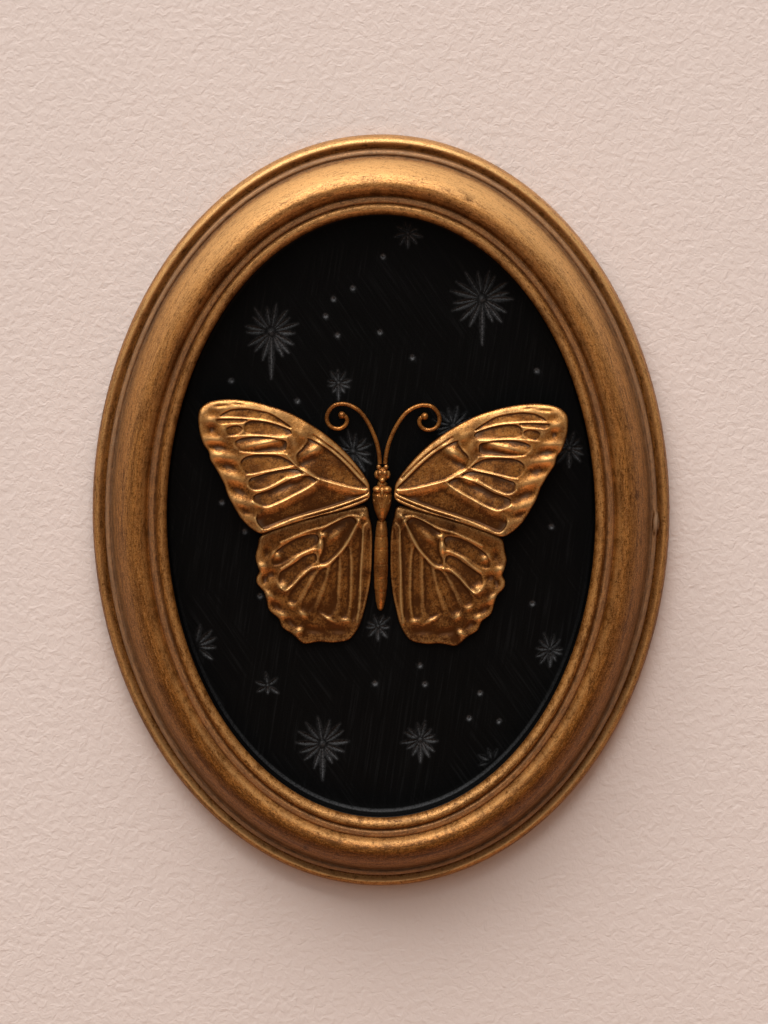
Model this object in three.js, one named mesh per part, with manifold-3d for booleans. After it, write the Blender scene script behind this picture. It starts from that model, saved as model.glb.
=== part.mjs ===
// Oval wall frame holding a gilt relief butterfly on a black panel engraved with stars.
// Millimetres. Modelled lying on its back (x right, y up the wall, z towards the viewer), then stood up.
import * as THREE from 'three';
import { mergeVertices } from 'three/addons/utils/BufferGeometryUtils.js';
import Module from 'manifold-3d';

const wasm = await Module();
wasm.setup();

// Driving dimensions of the frame and panel
const frameWidth = 152.4;
const frameHeight = 200;
const halfWidth = frameWidth / 2;
const ovalStretch = (frameHeight - frameWidth) / 2;
const ringSteps = 48;
const profileSteps = 3;
const gap = 0.3;

const lipReach = 19.8;      // moulding width, outer edge to the lip
const rebateReach = 17;     // outer edge to the rebate wall behind the lip
const lipUnderside = 12.2;  // height of the lip's back above the wall
const panelFloor = 5.5;     // height of the black face above the wall
const panelWall = 2.6;      // thickness of the panel's upstand
const floorFillet = 1.2;

// Driving dimensions of the butterfly, above the panel's black face
const butterflyTilt = THREE.MathUtils.degToRad(-0.85);
const butterflyCentre = new THREE.Vector2(0.24, 3.9);
const hindwingBack = 0.3;
const hindwingThickness = 1.7;
const hindwingRise = THREE.MathUtils.degToRad(2);
const forewingBack = 2.5;
const forewingThickness = 2;
const forewingRise = THREE.MathUtils.degToRad(3);
const forewingSwing = THREE.MathUtils.degToRad(1.1);
const forewingStretch = new THREE.Vector2(1.017, 1);
const hindwingStretch = new THREE.Vector2(1.009, 0.985);
const hindwingDrop = 0.5;
const veinRadius = 0.5;
const veinSink = 0.1;
const wireRadius = 0.52;
const wireSides = 5;
const wireSteps = 34;

// Finishes
const giltFrame = { color: 0x8f6232, roughness: 0.42, metalness: 0.75 };
const giltButterfly = { color: 0xa06a34, roughness: 0.38, metalness: 0.8 };
const blackPaint = { color: 0x0b0b0c, roughness: 0.55, metalness: 0 };
const steelPlate = { color: 0x9a9790, roughness: 0.35, metalness: 0.9 };

// Solid helpers: keep positions only, share vertices, and drop slivers that a pole leaves behind
function positionsOnly(geometry) {
  const bare = geometry.clone();
  bare.deleteAttribute('normal');
  bare.deleteAttribute('uv');
  const merged = mergeVertices(bare, 1e-4);
  const kept = [];
  const index = merged.index.array;
  for (let i = 0; i < index.length; i += 3) {
    const [a, b, c] = [index[i], index[i + 1], index[i + 2]];
    if (a !== b && b !== c && c !== a) kept.push(a, b, c);
  }
  merged.setIndex(kept);
  return merged;
}

function toSolid(geometry) {
  const bare = positionsOnly(geometry);
  return new wasm.Manifold(new wasm.Mesh({
    numProp: 3,
    vertProperties: new Float32Array(bare.attributes.position.array),
    triVerts: new Uint32Array(bare.index.array),
  }));
}

function toGeometry(solid) {
  const mesh = solid.getMesh();
  const geometry = new THREE.BufferGeometry();
  geometry.setAttribute('position', new THREE.BufferAttribute(mesh.vertProperties, 3));
  geometry.setIndex(new THREE.BufferAttribute(mesh.triVerts, 1));
  return geometry;
}

function fuse(geometries) {
  return geometries.map(toSolid).reduce((all, one) => all.add(one));
}

function namedMesh(name, geometry, finish) {
  const mesh = new THREE.Mesh(geometry, new THREE.MeshStandardMaterial(finish));
  mesh.name = name;
  return mesh;
}

// A regular polygon, the section of a vein or a wire
function ringShape(radius, sides) {
  const corners = [];
  for (let i = 0; i < sides; i += 1) {
    const angle = (2 * Math.PI * i) / sides;
    corners.push(new THREE.Vector2(radius * Math.cos(angle), radius * Math.sin(angle)));
  }
  return new THREE.Shape(corners);
}

// A round ring becomes oval: outside flatRadius every point slides by the same extra half height
function toOval(geometry, flatRadius) {
  const place = geometry.attributes.position;
  for (let i = 0; i < place.count; i += 1) {
    const radius = Math.max(Math.hypot(place.getX(i), place.getY(i)), flatRadius);
    place.setY(i, place.getY(i) * (1 + ovalStretch / radius));
  }
  return geometry;
}

// Spins a profile of (radius, height) points about z
function spun(points) {
  return new THREE.LatheGeometry(points, ringSteps).rotateX(Math.PI / 2);
}

// Oval moulding: outer bead, thin fillet, cove, main torus, groove, flat and inner bead
// Points are (distance in from the outer edge, height above the wall)
function mouldingProfile() {
  const path = new THREE.Path();
  path.moveTo(rebateReach, 0);
  path.lineTo(0, 0);
  path.lineTo(0, 4.1);
  path.lineTo(0.5, 5.9);
  path.lineTo(1.5, 6.5);
  path.lineTo(2.5, 5.4);
  path.lineTo(3.4, 5.1);
  path.lineTo(3.5, 7.9);
  path.lineTo(4.4, 8.2);
  path.quadraticCurveTo(5, 7.2, 5.5, 8.4);
  path.quadraticCurveTo(7.3, 17.2, 11.5, 17.6);
  path.quadraticCurveTo(14, 17.6, 14.4, 14.5);
  path.lineTo(14.7, 14.2);
  path.lineTo(15.1, 14.8);
  path.lineTo(16.4, 14.9);
  path.lineTo(16.8, 14.2);
  path.lineTo(17.4, 15);
  path.lineTo(18.6, 15);
  path.lineTo(lipReach, 13.7);
  path.lineTo(lipReach, lipUnderside);
  path.lineTo(rebateReach, lipUnderside);
  path.lineTo(rebateReach, 0);
  return path.getPoints(profileSteps);
}

// Pocket in the frame's back that the hanger strip sits in
const pocket = { width: 38, height: 9, depth: 2.6, centreY: 90.4 };

function frameGeometry() {
  const points = mouldingProfile().map((p) => new THREE.Vector2(halfWidth - p.x, p.y));
  const ring = toSolid(toOval(spun(points), 1));
  const recess = new THREE.BoxGeometry(pocket.width, pocket.height, 2 * pocket.depth);
  recess.translate(0, pocket.centreY, 0);
  return toGeometry(ring.subtract(toSolid(recess)));
}

// Sawtooth hanger: a joggled strip whose bridge lies near the wall and whose feet lie on the pocket floor,
// with teeth along the lower edge and a nail head on each foot
const strip = { halfLength: 17, halfBridge: 11, ramp: 1.5, height: 6.5, thickness: 0.8, proud: 0.2 };
const teeth = { count: 9, pitch: 2, halfWidth: 0.96, depth: 1.3, overshoot: 1, through: 4 };
const nailHead = { x: 14.8, radius: 1.2, squash: 0.6, sink: 0.1 };

function hangerGeometry() {
  const footFace = pocket.depth - gap - strip.thickness;
  const rampEnd = strip.halfBridge + strip.ramp;
  const joggle = new THREE.Shape();
  joggle.moveTo(-strip.halfLength, footFace);
  joggle.lineTo(-rampEnd, footFace);
  joggle.lineTo(-strip.halfBridge, strip.proud);
  joggle.lineTo(strip.halfBridge, strip.proud);
  joggle.lineTo(rampEnd, footFace);
  joggle.lineTo(strip.halfLength, footFace);
  joggle.lineTo(strip.halfLength, footFace + strip.thickness);
  joggle.lineTo(rampEnd, footFace + strip.thickness);
  joggle.lineTo(strip.halfBridge, strip.proud + strip.thickness);
  joggle.lineTo(-strip.halfBridge, strip.proud + strip.thickness);
  joggle.lineTo(-rampEnd, footFace + strip.thickness);
  joggle.lineTo(-strip.halfLength, footFace + strip.thickness);
  const band = new THREE.ExtrudeGeometry(joggle, { depth: strip.height, bevelEnabled: false });
  band.rotateX(Math.PI / 2).translate(0, strip.height / 2, 0);
  let solid = toSolid(band);
  const notch = new THREE.Shape();
  notch.moveTo(-teeth.halfWidth, -teeth.overshoot);
  notch.lineTo(teeth.halfWidth, -teeth.overshoot);
  notch.lineTo(0, teeth.depth);
  for (let i = 0; i < teeth.count; i += 1) {
    const cutter = new THREE.ExtrudeGeometry(notch, { depth: teeth.through, bevelEnabled: false });
    const across = (i - (teeth.count - 1) / 2) * teeth.pitch;
    cutter.translate(across, -strip.height / 2, -teeth.overshoot);
    solid = solid.subtract(toSolid(cutter));
  }
  for (const side of [-1, 1]) {
    const head = new THREE.SphereGeometry(nailHead.radius, 8, 4).scale(1, 1, nailHead.squash);
    head.translate(side * nailHead.x, 0, footFace + nailHead.sink);
    solid = solid.add(toSolid(head));
  }
  return toGeometry(solid).translate(0, pocket.centreY, 0);
}

// Black panel: a dish with a filleted upstand, engraved with stars and pits
const dishOuter = halfWidth - rebateReach - gap;
const dishInner = dishOuter - panelWall;
const dishRim = lipUnderside - gap;
const floorRadius = dishInner - floorFillet;

function dishGeometry() {
  const path = new THREE.Path();
  path.moveTo(0, 0);
  path.lineTo(dishOuter, 0);
  path.lineTo(dishOuter, dishRim);
  path.lineTo(dishInner, dishRim);
  path.lineTo(dishInner, panelFloor + floorFillet);
  path.quadraticCurveTo(dishInner, panelFloor, floorRadius, panelFloor);
  path.lineTo(0, panelFloor);
  return toOval(spun(path.getPoints(profileSteps)), floorRadius);
}

// Stars on the panel: centre, ray length, ray count and the long tail ray that the large ones have
const stars = [
  { x: -28.7, y: 48.4, reach: 8.2, rays: 11, tail: 12.4 },
  { x: 26.4, y: 57.3, reach: 8.4, rays: 11, tail: 12.4 },
  { x: -15.5, y: -61.6, reach: 7.1, rays: 11, tail: 9.8 },
  { x: 10.3, y: -60.6, reach: 5, rays: 9, tail: 6 },
  { x: 44.7, y: -36.3, reach: 4.6, rays: 9, tail: 4.6 },
  { x: -49.3, y: -34.9, reach: 7.4, rays: 10, tail: 7.4 },
  { x: -29.7, y: -45.3, reach: 3.6, rays: 6, tail: 3.6 },
  { x: -0.8, y: -30.1, reach: 3.6, rays: 7, tail: 3.6 },
  { x: -11.2, y: 34.7, reach: 3.4, rays: 7, tail: 4.2 },
  { x: -7.4, y: 16.6, reach: 5.8, rays: 9, tail: 5.8 },
  { x: 19, y: 23.3, reach: 5.6, rays: 9, tail: 5.6 },
  { x: 49.6, y: 17.4, reach: 5, rays: 8, tail: 5 },
  { x: 29.6, y: -66.4, reach: 4.6, rays: 8, tail: 4.6 },
  { x: 7, y: 74.4, reach: 3.8, rays: 7, tail: 3.8 },
];

// Lone pits, (x, y)
const pits = [
  [-7.4, 59.9], [0.5, 68.2], [8.2, 41.5], [-12.5, 57], [-14.6, 52.5], [-11.4, 47.4], [-0.3, 48.2],
  [-39.5, 35.4], [-1.6, -45.4], [10.3, -40.6], [11.6, -45.6], [26.2, -48], [23.3, -54.7], [31.2, -55.5],
  [40, -24], [36, 12], [-42, 3], [-36, -4.8], [-32, -22], [45, -3.5], [41, 38], [-22, 30],
];

const rayShape = { start: 0.26, width: 0.42, sides: 4, shortest: 1, everyOther: 0.8 };
const pitShape = { radius: 0.5, depth: 0.5, sides: 5 };

function insideFloor(x, y) {
  const across = x / (floorRadius - gap);
  const up = y / (floorRadius + ovalStretch - gap);
  return across * across + up * up < 1;
}

// A four-sided spike lying in the face cuts one V-shaped ray, deep near the star's middle
function rayCutter(star, angle, reach) {
  const from = star.reach * rayShape.start;
  let to = reach;
  while (to > from && !insideFloor(star.x + Math.cos(angle) * to, star.y + Math.sin(angle) * to)) {
    to -= gap;
  }
  if (to - from < rayShape.shortest) return null;
  const spike = new THREE.ConeGeometry(rayShape.width, to - from, rayShape.sides);
  spike.rotateZ(-Math.PI / 2).translate((from + to) / 2, 0, 0);
  return spike.rotateZ(angle).translate(star.x, star.y, panelFloor);
}

function panelGeometry() {
  const cutters = [];
  for (const star of stars) {
    for (let i = 0; i < star.rays; i += 1) {
      const angle = -Math.PI / 2 + (2 * Math.PI * i) / star.rays;
      const spread = i % 2 ? rayShape.everyOther : 1;
      const reach = i === 0 ? star.tail : star.reach * spread;
      const cutter = rayCutter(star, angle, reach);
      if (cutter) cutters.push(cutter);
    }
  }
  for (const [x, y] of pits) {
    const pit = new THREE.ConeGeometry(pitShape.radius, 2 * pitShape.depth, pitShape.sides);
    cutters.push(pit.rotateX(-Math.PI / 2).translate(x, y, panelFloor));
  }
  return toGeometry(toSolid(dishGeometry()).subtract(fuse(cutters)));
}

// Wing outlines and veins are drawn for the right side, (outwards, up), and mirrored for the left
const forewing = {
  outline: [
    [3.5, 3.3], [4.6, 6.1], [9.2, 11.8], [14.5, 16.5], [19.8, 20], [25.1, 22.7], [30.4, 24.4], [35.7, 25.5],
    [40.4, 25.8], [44.8, 25.2], [47.4, 23.8], [48.4, 21.8], [48.2, 17.9], [47, 13.9], [45.6, 11.9],
    [45, 9.6], [43.7, 7.6], [42.6, 5.8], [41.3, 3.4], [40.3, 0.6], [39.3, -1.3], [37.9, -3.7],
    [36.4, -5.9], [33.8, -8.3], [31.3, -9.4], [28.2, -8.4], [21.6, -6], [16.3, -4.3], [11.1, -2.9],
    [7.1, -1.5], [3.7, 0.4],
  ],
  outlineSteps: 46,
  back: forewingBack,
  thickness: forewingThickness,
  rise: forewingRise,
  swing: forewingSwing,
  stretch: forewingStretch,
  drop: 0,
  veins: [
    [[4.4, 4.4], [9, 9.8], [14.2, 14.4], [18.9, 17.7], [24.9, 20.7], [30.2, 23.1], [36, 24.4], [42, 24.4]],
    [[22.5, 17.8], [27.3, 19.6], [31.3, 20.5], [35.2, 20.9], [42.6, 21]],
    [[24.1, 16.7], [29.9, 16.4], [33.9, 16.5], [38.6, 15.6], [42, 16.6]],
    [[22.9, 11.7], [25.8, 11.8], [31.1, 11.7], [35.1, 11.3], [38.8, 11.7]],
    [[4.4, 2.8], [9.8, 3.6], [16.6, 5.4], [19.2, 7], [22.4, 8.6], [24, 10.3], [22.9, 11.7], [20.6, 15.4]],
    [[22.6, 8.5], [25.8, 8.1], [29.7, 7.3], [35, 5.4]],
    [[24.7, 5.8], [26.8, 4.4], [29.7, 2.6], [32.8, 1.6], [35.2, 2.5]],
    [[16.6, 5.4], [19.1, 3.2], [23, 0.9], [27, -1.3], [30.1, -2.5], [33.6, -1.3]],
    [[4.6, 1.3], [8.5, -0.4], [13.7, -2.5], [19, -4], [24.3, -5.8], [30.6, -8.4], [32.7, -6.6]],
  ],
  wideVein: 0,
  bumps: [
    [46, 20.4], [45.8, 16.4], [44.2, 12.8], [42.4, 9.2], [40.6, 5.2], [38.8, 1.2], [36.8, -2.8], [33.8, -6],
  ],
};

const hindwing = {
  outline: [
    [4.4, -1.2], [9.7, -2], [16.3, -3.6], [24.2, -6], [31.1, -9], [32.4, -12.6], [32.9, -15.6],
    [32.2, -18.2], [31.9, -19.4], [32.6, -21.1], [32.3, -22.9], [30.6, -24.9], [29.9, -27.2], [29.1, -29.9],
    [26.7, -32.1], [25.6, -34.5], [22.9, -36.4], [21, -38.2], [19.5, -38.9], [15.8, -38.3], [12.3, -38.5],
    [8.7, -37.9], [6.8, -36.2], [5.1, -33], [4.1, -29.2], [3.1, -24.3], [2.5, -18], [2.5, -8.5], [3.3, -4],
  ],
  outlineSteps: 46,
  back: hindwingBack,
  thickness: hindwingThickness,
  rise: hindwingRise,
  swing: 0,
  stretch: hindwingStretch,
  drop: hindwingDrop,
  veins: [
    [[6.3, -4.4], [8.4, -3.8], [11.6, -5.1], [15, -6.9], [18.9, -8], [22.6, -9.6], [26.3, -11.4]],
    [[5.2, -3.6], [6.5, -6], [8.3, -10], [9.9, -12.7], [12.2, -15.4], [14.3, -17.3], [16.4, -17.8]],
    [[16.4, -17.8], [18.3, -18.2], [20.6, -20.1], [23, -22.8], [24.8, -24.4], [26.1, -23.6]],
    [[18.3, -13.1], [21.5, -14.9], [24.1, -17.1], [26.2, -18.3], [27.8, -18.1]],
    [[16.7, -18.4], [18.5, -21.9], [20.3, -25.4], [22.1, -28.7]],
    [[13.8, -17.3], [14.5, -21.1], [15.8, -25.1], [17, -28.6], [19.7, -31.3]],
    [[10.6, -14.1], [10.9, -20.2], [11.1, -26.1], [12, -30.4], [14.3, -32.2]],
    [[3.8, -5.9], [4.4, -8.4], [5, -13.4], [5.3, -20.1], [5.4, -26.8], [6.1, -33]],
  ],
  wideVein: 1,
  bumps: [[30.8, -14.4], [30.8, -20.8], [28, -27.6], [25.4, -31], [21.4, -34.8], [16, -35.6], [10.4, -35.4]],
};

const bumpShape = { radius: 1.5, lift: 0.35, sides: 6, rings: 4 };
const veinSides = 4;
const wideVeinScale = 1.5;

// One vein: a four-sided ridge half sunk in the wing's face
function veinGeometry(points, face, radius) {
  const run = points.map(([x, y]) => new THREE.Vector3(x, y, face - veinSink));
  const extrudePath = new THREE.CatmullRomCurve3(run);
  const section = ringShape(radius, veinSides);
  return new THREE.ExtrudeGeometry(section, { steps: points.length, extrudePath, bevelEnabled: false });
}

function wingGeometry(wing, side) {
  const mirrored = (points) => points.map(([x, y]) => [side * wing.stretch.x * x, wing.stretch.y * y]);
  const rim = mirrored(wing.outline).map(([x, y]) => new THREE.Vector2(x, y));
  const curve = new THREE.SplineCurve([...rim, rim[0]]);
  const outline = new THREE.Shape(curve.getSpacedPoints(wing.outlineSteps).slice(0, -1));
  const plate = new THREE.ExtrudeGeometry(outline, { depth: wing.thickness, bevelEnabled: false });
  plate.translate(0, 0, wing.back);
  const face = wing.back + wing.thickness;
  const veins = wing.veins.map((points, i) => {
    const radius = i === wing.wideVein ? veinRadius * wideVeinScale : veinRadius;
    return veinGeometry(mirrored(points), face, radius);
  });
  const bumps = mirrored(wing.bumps).map(([x, y]) => {
    const dome = new THREE.SphereGeometry(bumpShape.radius, bumpShape.sides, bumpShape.rings);
    dome.rotateX(Math.PI / 2).scale(1, 1, bumpShape.lift);
    return dome.translate(x, y, face);
  });
  return toGeometry(fuse([plate, ...veins, ...bumps]));
}

function wingMesh(name, wing, side) {
  const mesh = namedMesh(name, wingGeometry(wing, side), giltButterfly);
  mesh.rotation.set(0, -side * wing.rise, side * wing.swing);
  mesh.position.y = -wing.drop;
  return mesh;
}

// Body: head, shield-shaped thorax and ringed abdomen in one casting, flat where it meets the panel
const head = { y: 6.7, halfWidth: 2.2, halfLength: 2.6, halfDepth: 2.4, z: 2.4 };
const thorax = { y: -0.6, halfWidth: 2.7, halfLength: 5.4, halfDepth: 3.1, z: 2.9 };
const abdomen = { top: -4.6, length: 25.1, halfWidth: 1.8, halfDepth: 2.2, z: 2.2 };
const abdomenBands = { count: 5, pinch: 0.16, waist: 0.18, tip: 0.33 };
const underCut = { width: 30, length: 80, depth: 20 };
const bodySides = 10;
const bodyRings = 7;

function ellipsoid(part) {
  const ball = new THREE.SphereGeometry(1, bodySides, bodyRings);
  return ball.scale(part.halfWidth, part.halfLength, part.halfDepth).translate(0, part.y, part.z);
}

function abdomenGeometry() {
  const points = [new THREE.Vector2(0, 0)];
  const stations = 2 * abdomenBands.count;
  for (let i = 0; i < stations; i += 1) {
    const along = (i + 0.5) / stations;
    const tipRound = Math.sqrt(Math.min(1, along / abdomenBands.tip));
    const taper = tipRound * (1 - abdomenBands.waist * (1 - along));
    const pinch = i % 2 ? 1 : 1 - abdomenBands.pinch;
    points.push(new THREE.Vector2(abdomen.halfWidth * taper * pinch, along * abdomen.length));
  }
  points.push(new THREE.Vector2(0, abdomen.length));
  const spindle = new THREE.LatheGeometry(points, bodySides);
  spindle.scale(1, 1, abdomen.halfDepth / abdomen.halfWidth);
  return spindle.translate(0, abdomen.top - abdomen.length, abdomen.z);
}

function bodyGeometry() {
  const whole = fuse([ellipsoid(head), ellipsoid(thorax), abdomenGeometry()]);
  const below = new THREE.BoxGeometry(underCut.width, underCut.length, underCut.depth);
  below.translate(0, 0, hindwingBack - underCut.depth / 2);
  return toGeometry(whole.subtract(toSolid(below)));
}

// Antennae: rigid wires that leave the head, lean out and curl inwards to a ball tip
const antennaPath = [
  [0.7, 9.7], [0.9, 12], [1.5, 14.9], [2.6, 17.9], [4.1, 20.8], [5.9, 23.2], [7.8, 24.6], [9.6, 25.3],
  [11.2, 25.4], [12.8, 25], [14.1, 23.8], [14.8, 22.2], [14.7, 20.6], [13.9, 19.4], [12.6, 18.8],
  [11.1, 18.9], [9.9, 19.8], [9.5, 21], [9.9, 22], [10.9, 22.4],
];
const antennaHeights = { base: 3, coil: 1.9, settled: 0.6 };
const ballRadius = 0.95;

function antennaGeometry(side) {
  const last = antennaPath.length - 1;
  const points = antennaPath.map(([x, y], i) => {
    const along = Math.min(1, i / last / antennaHeights.settled);
    const z = THREE.MathUtils.lerp(antennaHeights.base, antennaHeights.coil, along);
    return new THREE.Vector3(side * x, y, z);
  });
  const section = ringShape(wireRadius, wireSides);
  const extrudePath = new THREE.CatmullRomCurve3(points);
  const wire = new THREE.ExtrudeGeometry(section, { steps: wireSteps, extrudePath, bevelEnabled: false });
  const ball = new THREE.SphereGeometry(ballRadius, 8, 5).translate(...points[last].toArray());
  return toGeometry(fuse([wire, ball]));
}

const butterfly = new THREE.Group();
butterfly.position.set(butterflyCentre.x, butterflyCentre.y, panelFloor);
butterfly.rotation.z = butterflyTilt;
butterfly.add(
  namedMesh('body', bodyGeometry(), giltButterfly),
  wingMesh('left_forewing', forewing, -1),
  wingMesh('right_forewing', forewing, 1),
  wingMesh('left_hindwing', hindwing, -1),
  wingMesh('right_hindwing', hindwing, 1),
  namedMesh('left_antenna', antennaGeometry(-1), giltButterfly),
  namedMesh('right_antenna', antennaGeometry(1), giltButterfly),
);

const framedButterfly = new THREE.Group();
framedButterfly.add(
  namedMesh('frame', frameGeometry(), giltFrame),
  namedMesh('panel', panelGeometry(), blackPaint),
  namedMesh('hanger_strip', hangerGeometry(), steelPlate),
  butterfly,
);
framedButterfly.rotation.x = Math.PI / 2;
framedButterfly.updateMatrixWorld(true);

export default framedButterfly;
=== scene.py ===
import math
import random
import bmesh
import bpy
import numpy as np
from mathutils import Matrix, Vector, noise


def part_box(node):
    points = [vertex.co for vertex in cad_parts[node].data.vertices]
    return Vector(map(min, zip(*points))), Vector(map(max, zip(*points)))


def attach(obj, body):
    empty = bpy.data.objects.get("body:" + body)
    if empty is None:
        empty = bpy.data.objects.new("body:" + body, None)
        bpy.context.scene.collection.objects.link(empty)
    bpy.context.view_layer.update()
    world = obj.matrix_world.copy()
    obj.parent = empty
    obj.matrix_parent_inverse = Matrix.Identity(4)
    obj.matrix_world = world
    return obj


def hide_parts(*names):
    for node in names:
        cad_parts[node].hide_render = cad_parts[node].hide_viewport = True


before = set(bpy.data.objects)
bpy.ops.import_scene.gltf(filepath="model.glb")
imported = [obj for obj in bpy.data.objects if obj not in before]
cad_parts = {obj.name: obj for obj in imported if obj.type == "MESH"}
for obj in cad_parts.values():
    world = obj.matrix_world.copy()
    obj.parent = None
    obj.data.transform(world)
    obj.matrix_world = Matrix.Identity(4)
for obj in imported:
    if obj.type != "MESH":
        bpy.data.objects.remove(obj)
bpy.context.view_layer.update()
mm = 0.001
print("frame loaded,", len(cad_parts), "nodes")

# Pieces are shaped in millimetres lying on their back (x right, y up, z to the viewer), then stood up
standUp = Matrix.Rotation(math.pi / 2, 4, "X") @ Matrix.Scale(mm, 4)
frameLow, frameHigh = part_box("frame")
halfWidth = (frameHigh.x - frameLow.x) / 2 / mm
ovalStretch = (frameHigh.z - frameLow.z) / 2 / mm - halfWidth


def easeBetween(low, high, value):
    share = np.clip((value - low) / (high - low), 0, 1)
    return share * share * (3 - 2 * share)


def placesOf(bm):
    bm.verts.ensure_lookup_table()
    return np.array([vert.co[:] for vert in bm.verts])


def setPlaces(bm, places):
    for vert, place in zip(bm.verts, places):
        vert.co = place


def setLayer(bm, name, values):
    layer = bm.verts.layers.float.get(name) or bm.verts.layers.float.new(name)
    for vert, value in zip(bm.verts, values):
        vert[layer] = value


def waviness(places, scale, seed):
    shift = Vector((seed * 13.7, seed * 5.1, seed * 9.3))
    return np.array([noise.noise(Vector(place) * scale + shift) for place in places])


def boundaryOf(bm):
    return [edge for edge in bm.edges if edge.is_boundary]


def onlyOf(kind, items):
    return [item for item in items if isinstance(item, kind)]


def moveAll(bm, matrix):
    bmesh.ops.transform(bm, matrix=matrix, verts=bm.verts)


# One more ring of faces outwards from some edges, returning the new verts
def extrudeEdges(bm, edges):
    return onlyOf(bmesh.types.BMVert, bmesh.ops.extrude_edge_only(bm, edges=edges)["geom"])


def closeMesh(bm, mergeDistance=1e-4):
    bmesh.ops.remove_doubles(bm, verts=bm.verts, dist=mergeDistance)
    bmesh.ops.recalc_face_normals(bm, faces=bm.faces)


def objectFrom(bm, name, place=None):
    if place:
        moveAll(bm, place)
    mesh = bpy.data.meshes.new(name)
    bm.to_mesh(mesh)
    bm.free()
    item = bpy.data.objects.new(name, mesh)
    bpy.context.scene.collection.objects.link(item)
    return item


def finishPiece(bm, name, material, nodeName):
    piece = objectFrom(bm, name, standUp)
    piece.data.materials.append(material)
    piece.data.shade_smooth()
    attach(piece, "root")
    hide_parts(nodeName)
    print(name, "made,", len(piece.data.polygons), "faces")
    return piece


def soften(bm):
    bmesh.ops.smooth_vert(bm, verts=bm.verts, factor=0.5, use_axis_x=True, use_axis_y=True, use_axis_z=True)


def bakeModifiers(piece):
    settled = piece.evaluated_get(bpy.context.evaluated_depsgraph_get())
    mesh = bpy.data.meshes.new_from_object(settled)
    piece.modifiers.clear()
    piece.data = mesh


# An even run of points on a smooth closed or open line through a few points
def smoothLine(points, count, closed=True):
    knots = np.array(points, float)
    if closed:
        before, after, beyond = (np.roll(knots, step, 0) for step in (1, -1, -2))
    else:
        padded = np.vstack([2 * knots[0] - knots[1], knots, 2 * knots[-1] - knots[-2]])
        before, knots, after, beyond = padded[:-3], padded[1:-2], padded[2:-1], padded[3:]
    t = np.linspace(0, 1, 12, endpoint=False)[:, None, None]
    bend = 2 * before - 5 * knots + 4 * after - beyond
    twist = 3 * knots - before - 3 * after + beyond
    run = 0.5 * (2 * knots + t * (after - before) + t * t * bend + t * t * t * twist)
    last = knots[:1] if closed else after[-1:]
    fine = np.vstack([run.transpose(1, 0, 2).reshape(-1, knots.shape[1]), last])
    length = np.r_[0, np.cumsum(np.linalg.norm(np.diff(fine, axis=0), axis=1))]
    stations = np.linspace(0, length[-1], count, endpoint=not closed)
    return np.column_stack([np.interp(stations, length, column) for column in fine.T])


# Distance from each place to every run of a line in turn, and how far along that run its nearest point is
def runDistances(places, line):
    for start, end in zip(line[:-1], line[1:]):
        run = end - start
        share = np.clip((places - start) @ run / (run @ run), 0, 1)
        yield np.linalg.norm(places - start - share[:, None] * run, axis=1), share


# Distance from each place to a line, and how far along the line its nearest point is, 0 to 1
def lineDistance(places, line):
    nearest = np.full(len(places), 1e9)
    along = np.zeros(len(places))
    for i, (distance, share) in enumerate(runDistances(places, line)):
        closer = distance < nearest
        nearest = np.where(closer, distance, nearest)
        along = np.where(closer, (i + share) / (len(line) - 1), along)
    return nearest, along


def nearTo(places, points):
    return np.all((places > points.min(0) - 1) & (places < points.max(0) + 1), axis=1)


def insideLoop(places, ring):
    inside = np.zeros(len(places), bool)
    for start, end in zip(ring[:-1], ring[1:]):
        spans = (start[1] > places[:, 1]) != (end[1] > places[:, 1])
        rise = end[1] - start[1] if end[1] != start[1] else 1e-9
        edge = start[0] + (places[:, 1] - start[1]) * (end[0] - start[0]) / rise
        inside ^= spans & (places[:, 0] < edge)
    return inside


# Outward normals of a closed ring's edges
def ringNormals(ring):
    runs = np.diff(ring, axis=0)
    area = np.sum(ring[:-1, 0] * ring[1:, 1] - ring[1:, 0] * ring[:-1, 1])
    normals = np.column_stack([runs[:, 1], -runs[:, 0]]) * np.sign(area)
    return normals / np.linalg.norm(normals, axis=1)[:, None]


# How far a place is sunk within a pane, 0 at its edge. Below its upper edge, on the side of the wing's root,
# it is sunk by 1, and from there it slopes to its rest at the lower edge
def paneDepth(places, loop, upperWall, lowerWall, rest, grow):
    ring = np.vstack([loop, loop[:1]])
    upperness = easeBetween(-0.3, 0.6, ringNormals(ring) @ np.array([-0.35, 0.94]))
    depth, fromUpper, fromLower = (np.full(len(places), 1e9) for _ in range(3))
    beyond = -depth
    for (distance, _), upper in zip(runDistances(places, ring), upperness):
        width = lowerWall + (upperWall - lowerWall) * upper
        depth = np.minimum(depth, (distance + grow) / width)
        beyond = np.maximum(beyond, (grow - distance) / width)
        fromUpper = np.minimum(fromUpper, distance / max(upper, 0.05) + 1e-6)
        fromLower = np.minimum(fromLower, distance / max(1 - upper, 0.05) + 1e-6)
    across = fromUpper / (fromUpper + fromLower)
    sunk = easeBetween(0, 1, np.where(insideLoop(places, ring), depth, beyond))
    return sunk * (1 + (rest - 1) * across)


# Shader helpers
def addNode(tree, kind, **settings):
    node = tree.nodes.new(kind)
    for key, value in settings.items():
        setattr(node, key, value)
    return node


def feed(tree, target, value):
    if isinstance(value, bpy.types.NodeSocket):
        tree.links.new(value, target)
    else:
        target.default_value = value


def feedAll(tree, node, values):
    for name, value in values.items():
        feed(tree, node.inputs[name], value)


def mathNode(tree, operation, first, second, clamp=False):
    node = addNode(tree, "ShaderNodeMath", operation=operation, use_clamp=clamp)
    feed(tree, node.inputs[0], first)
    feed(tree, node.inputs[1], second)
    return node.outputs[0]


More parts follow.
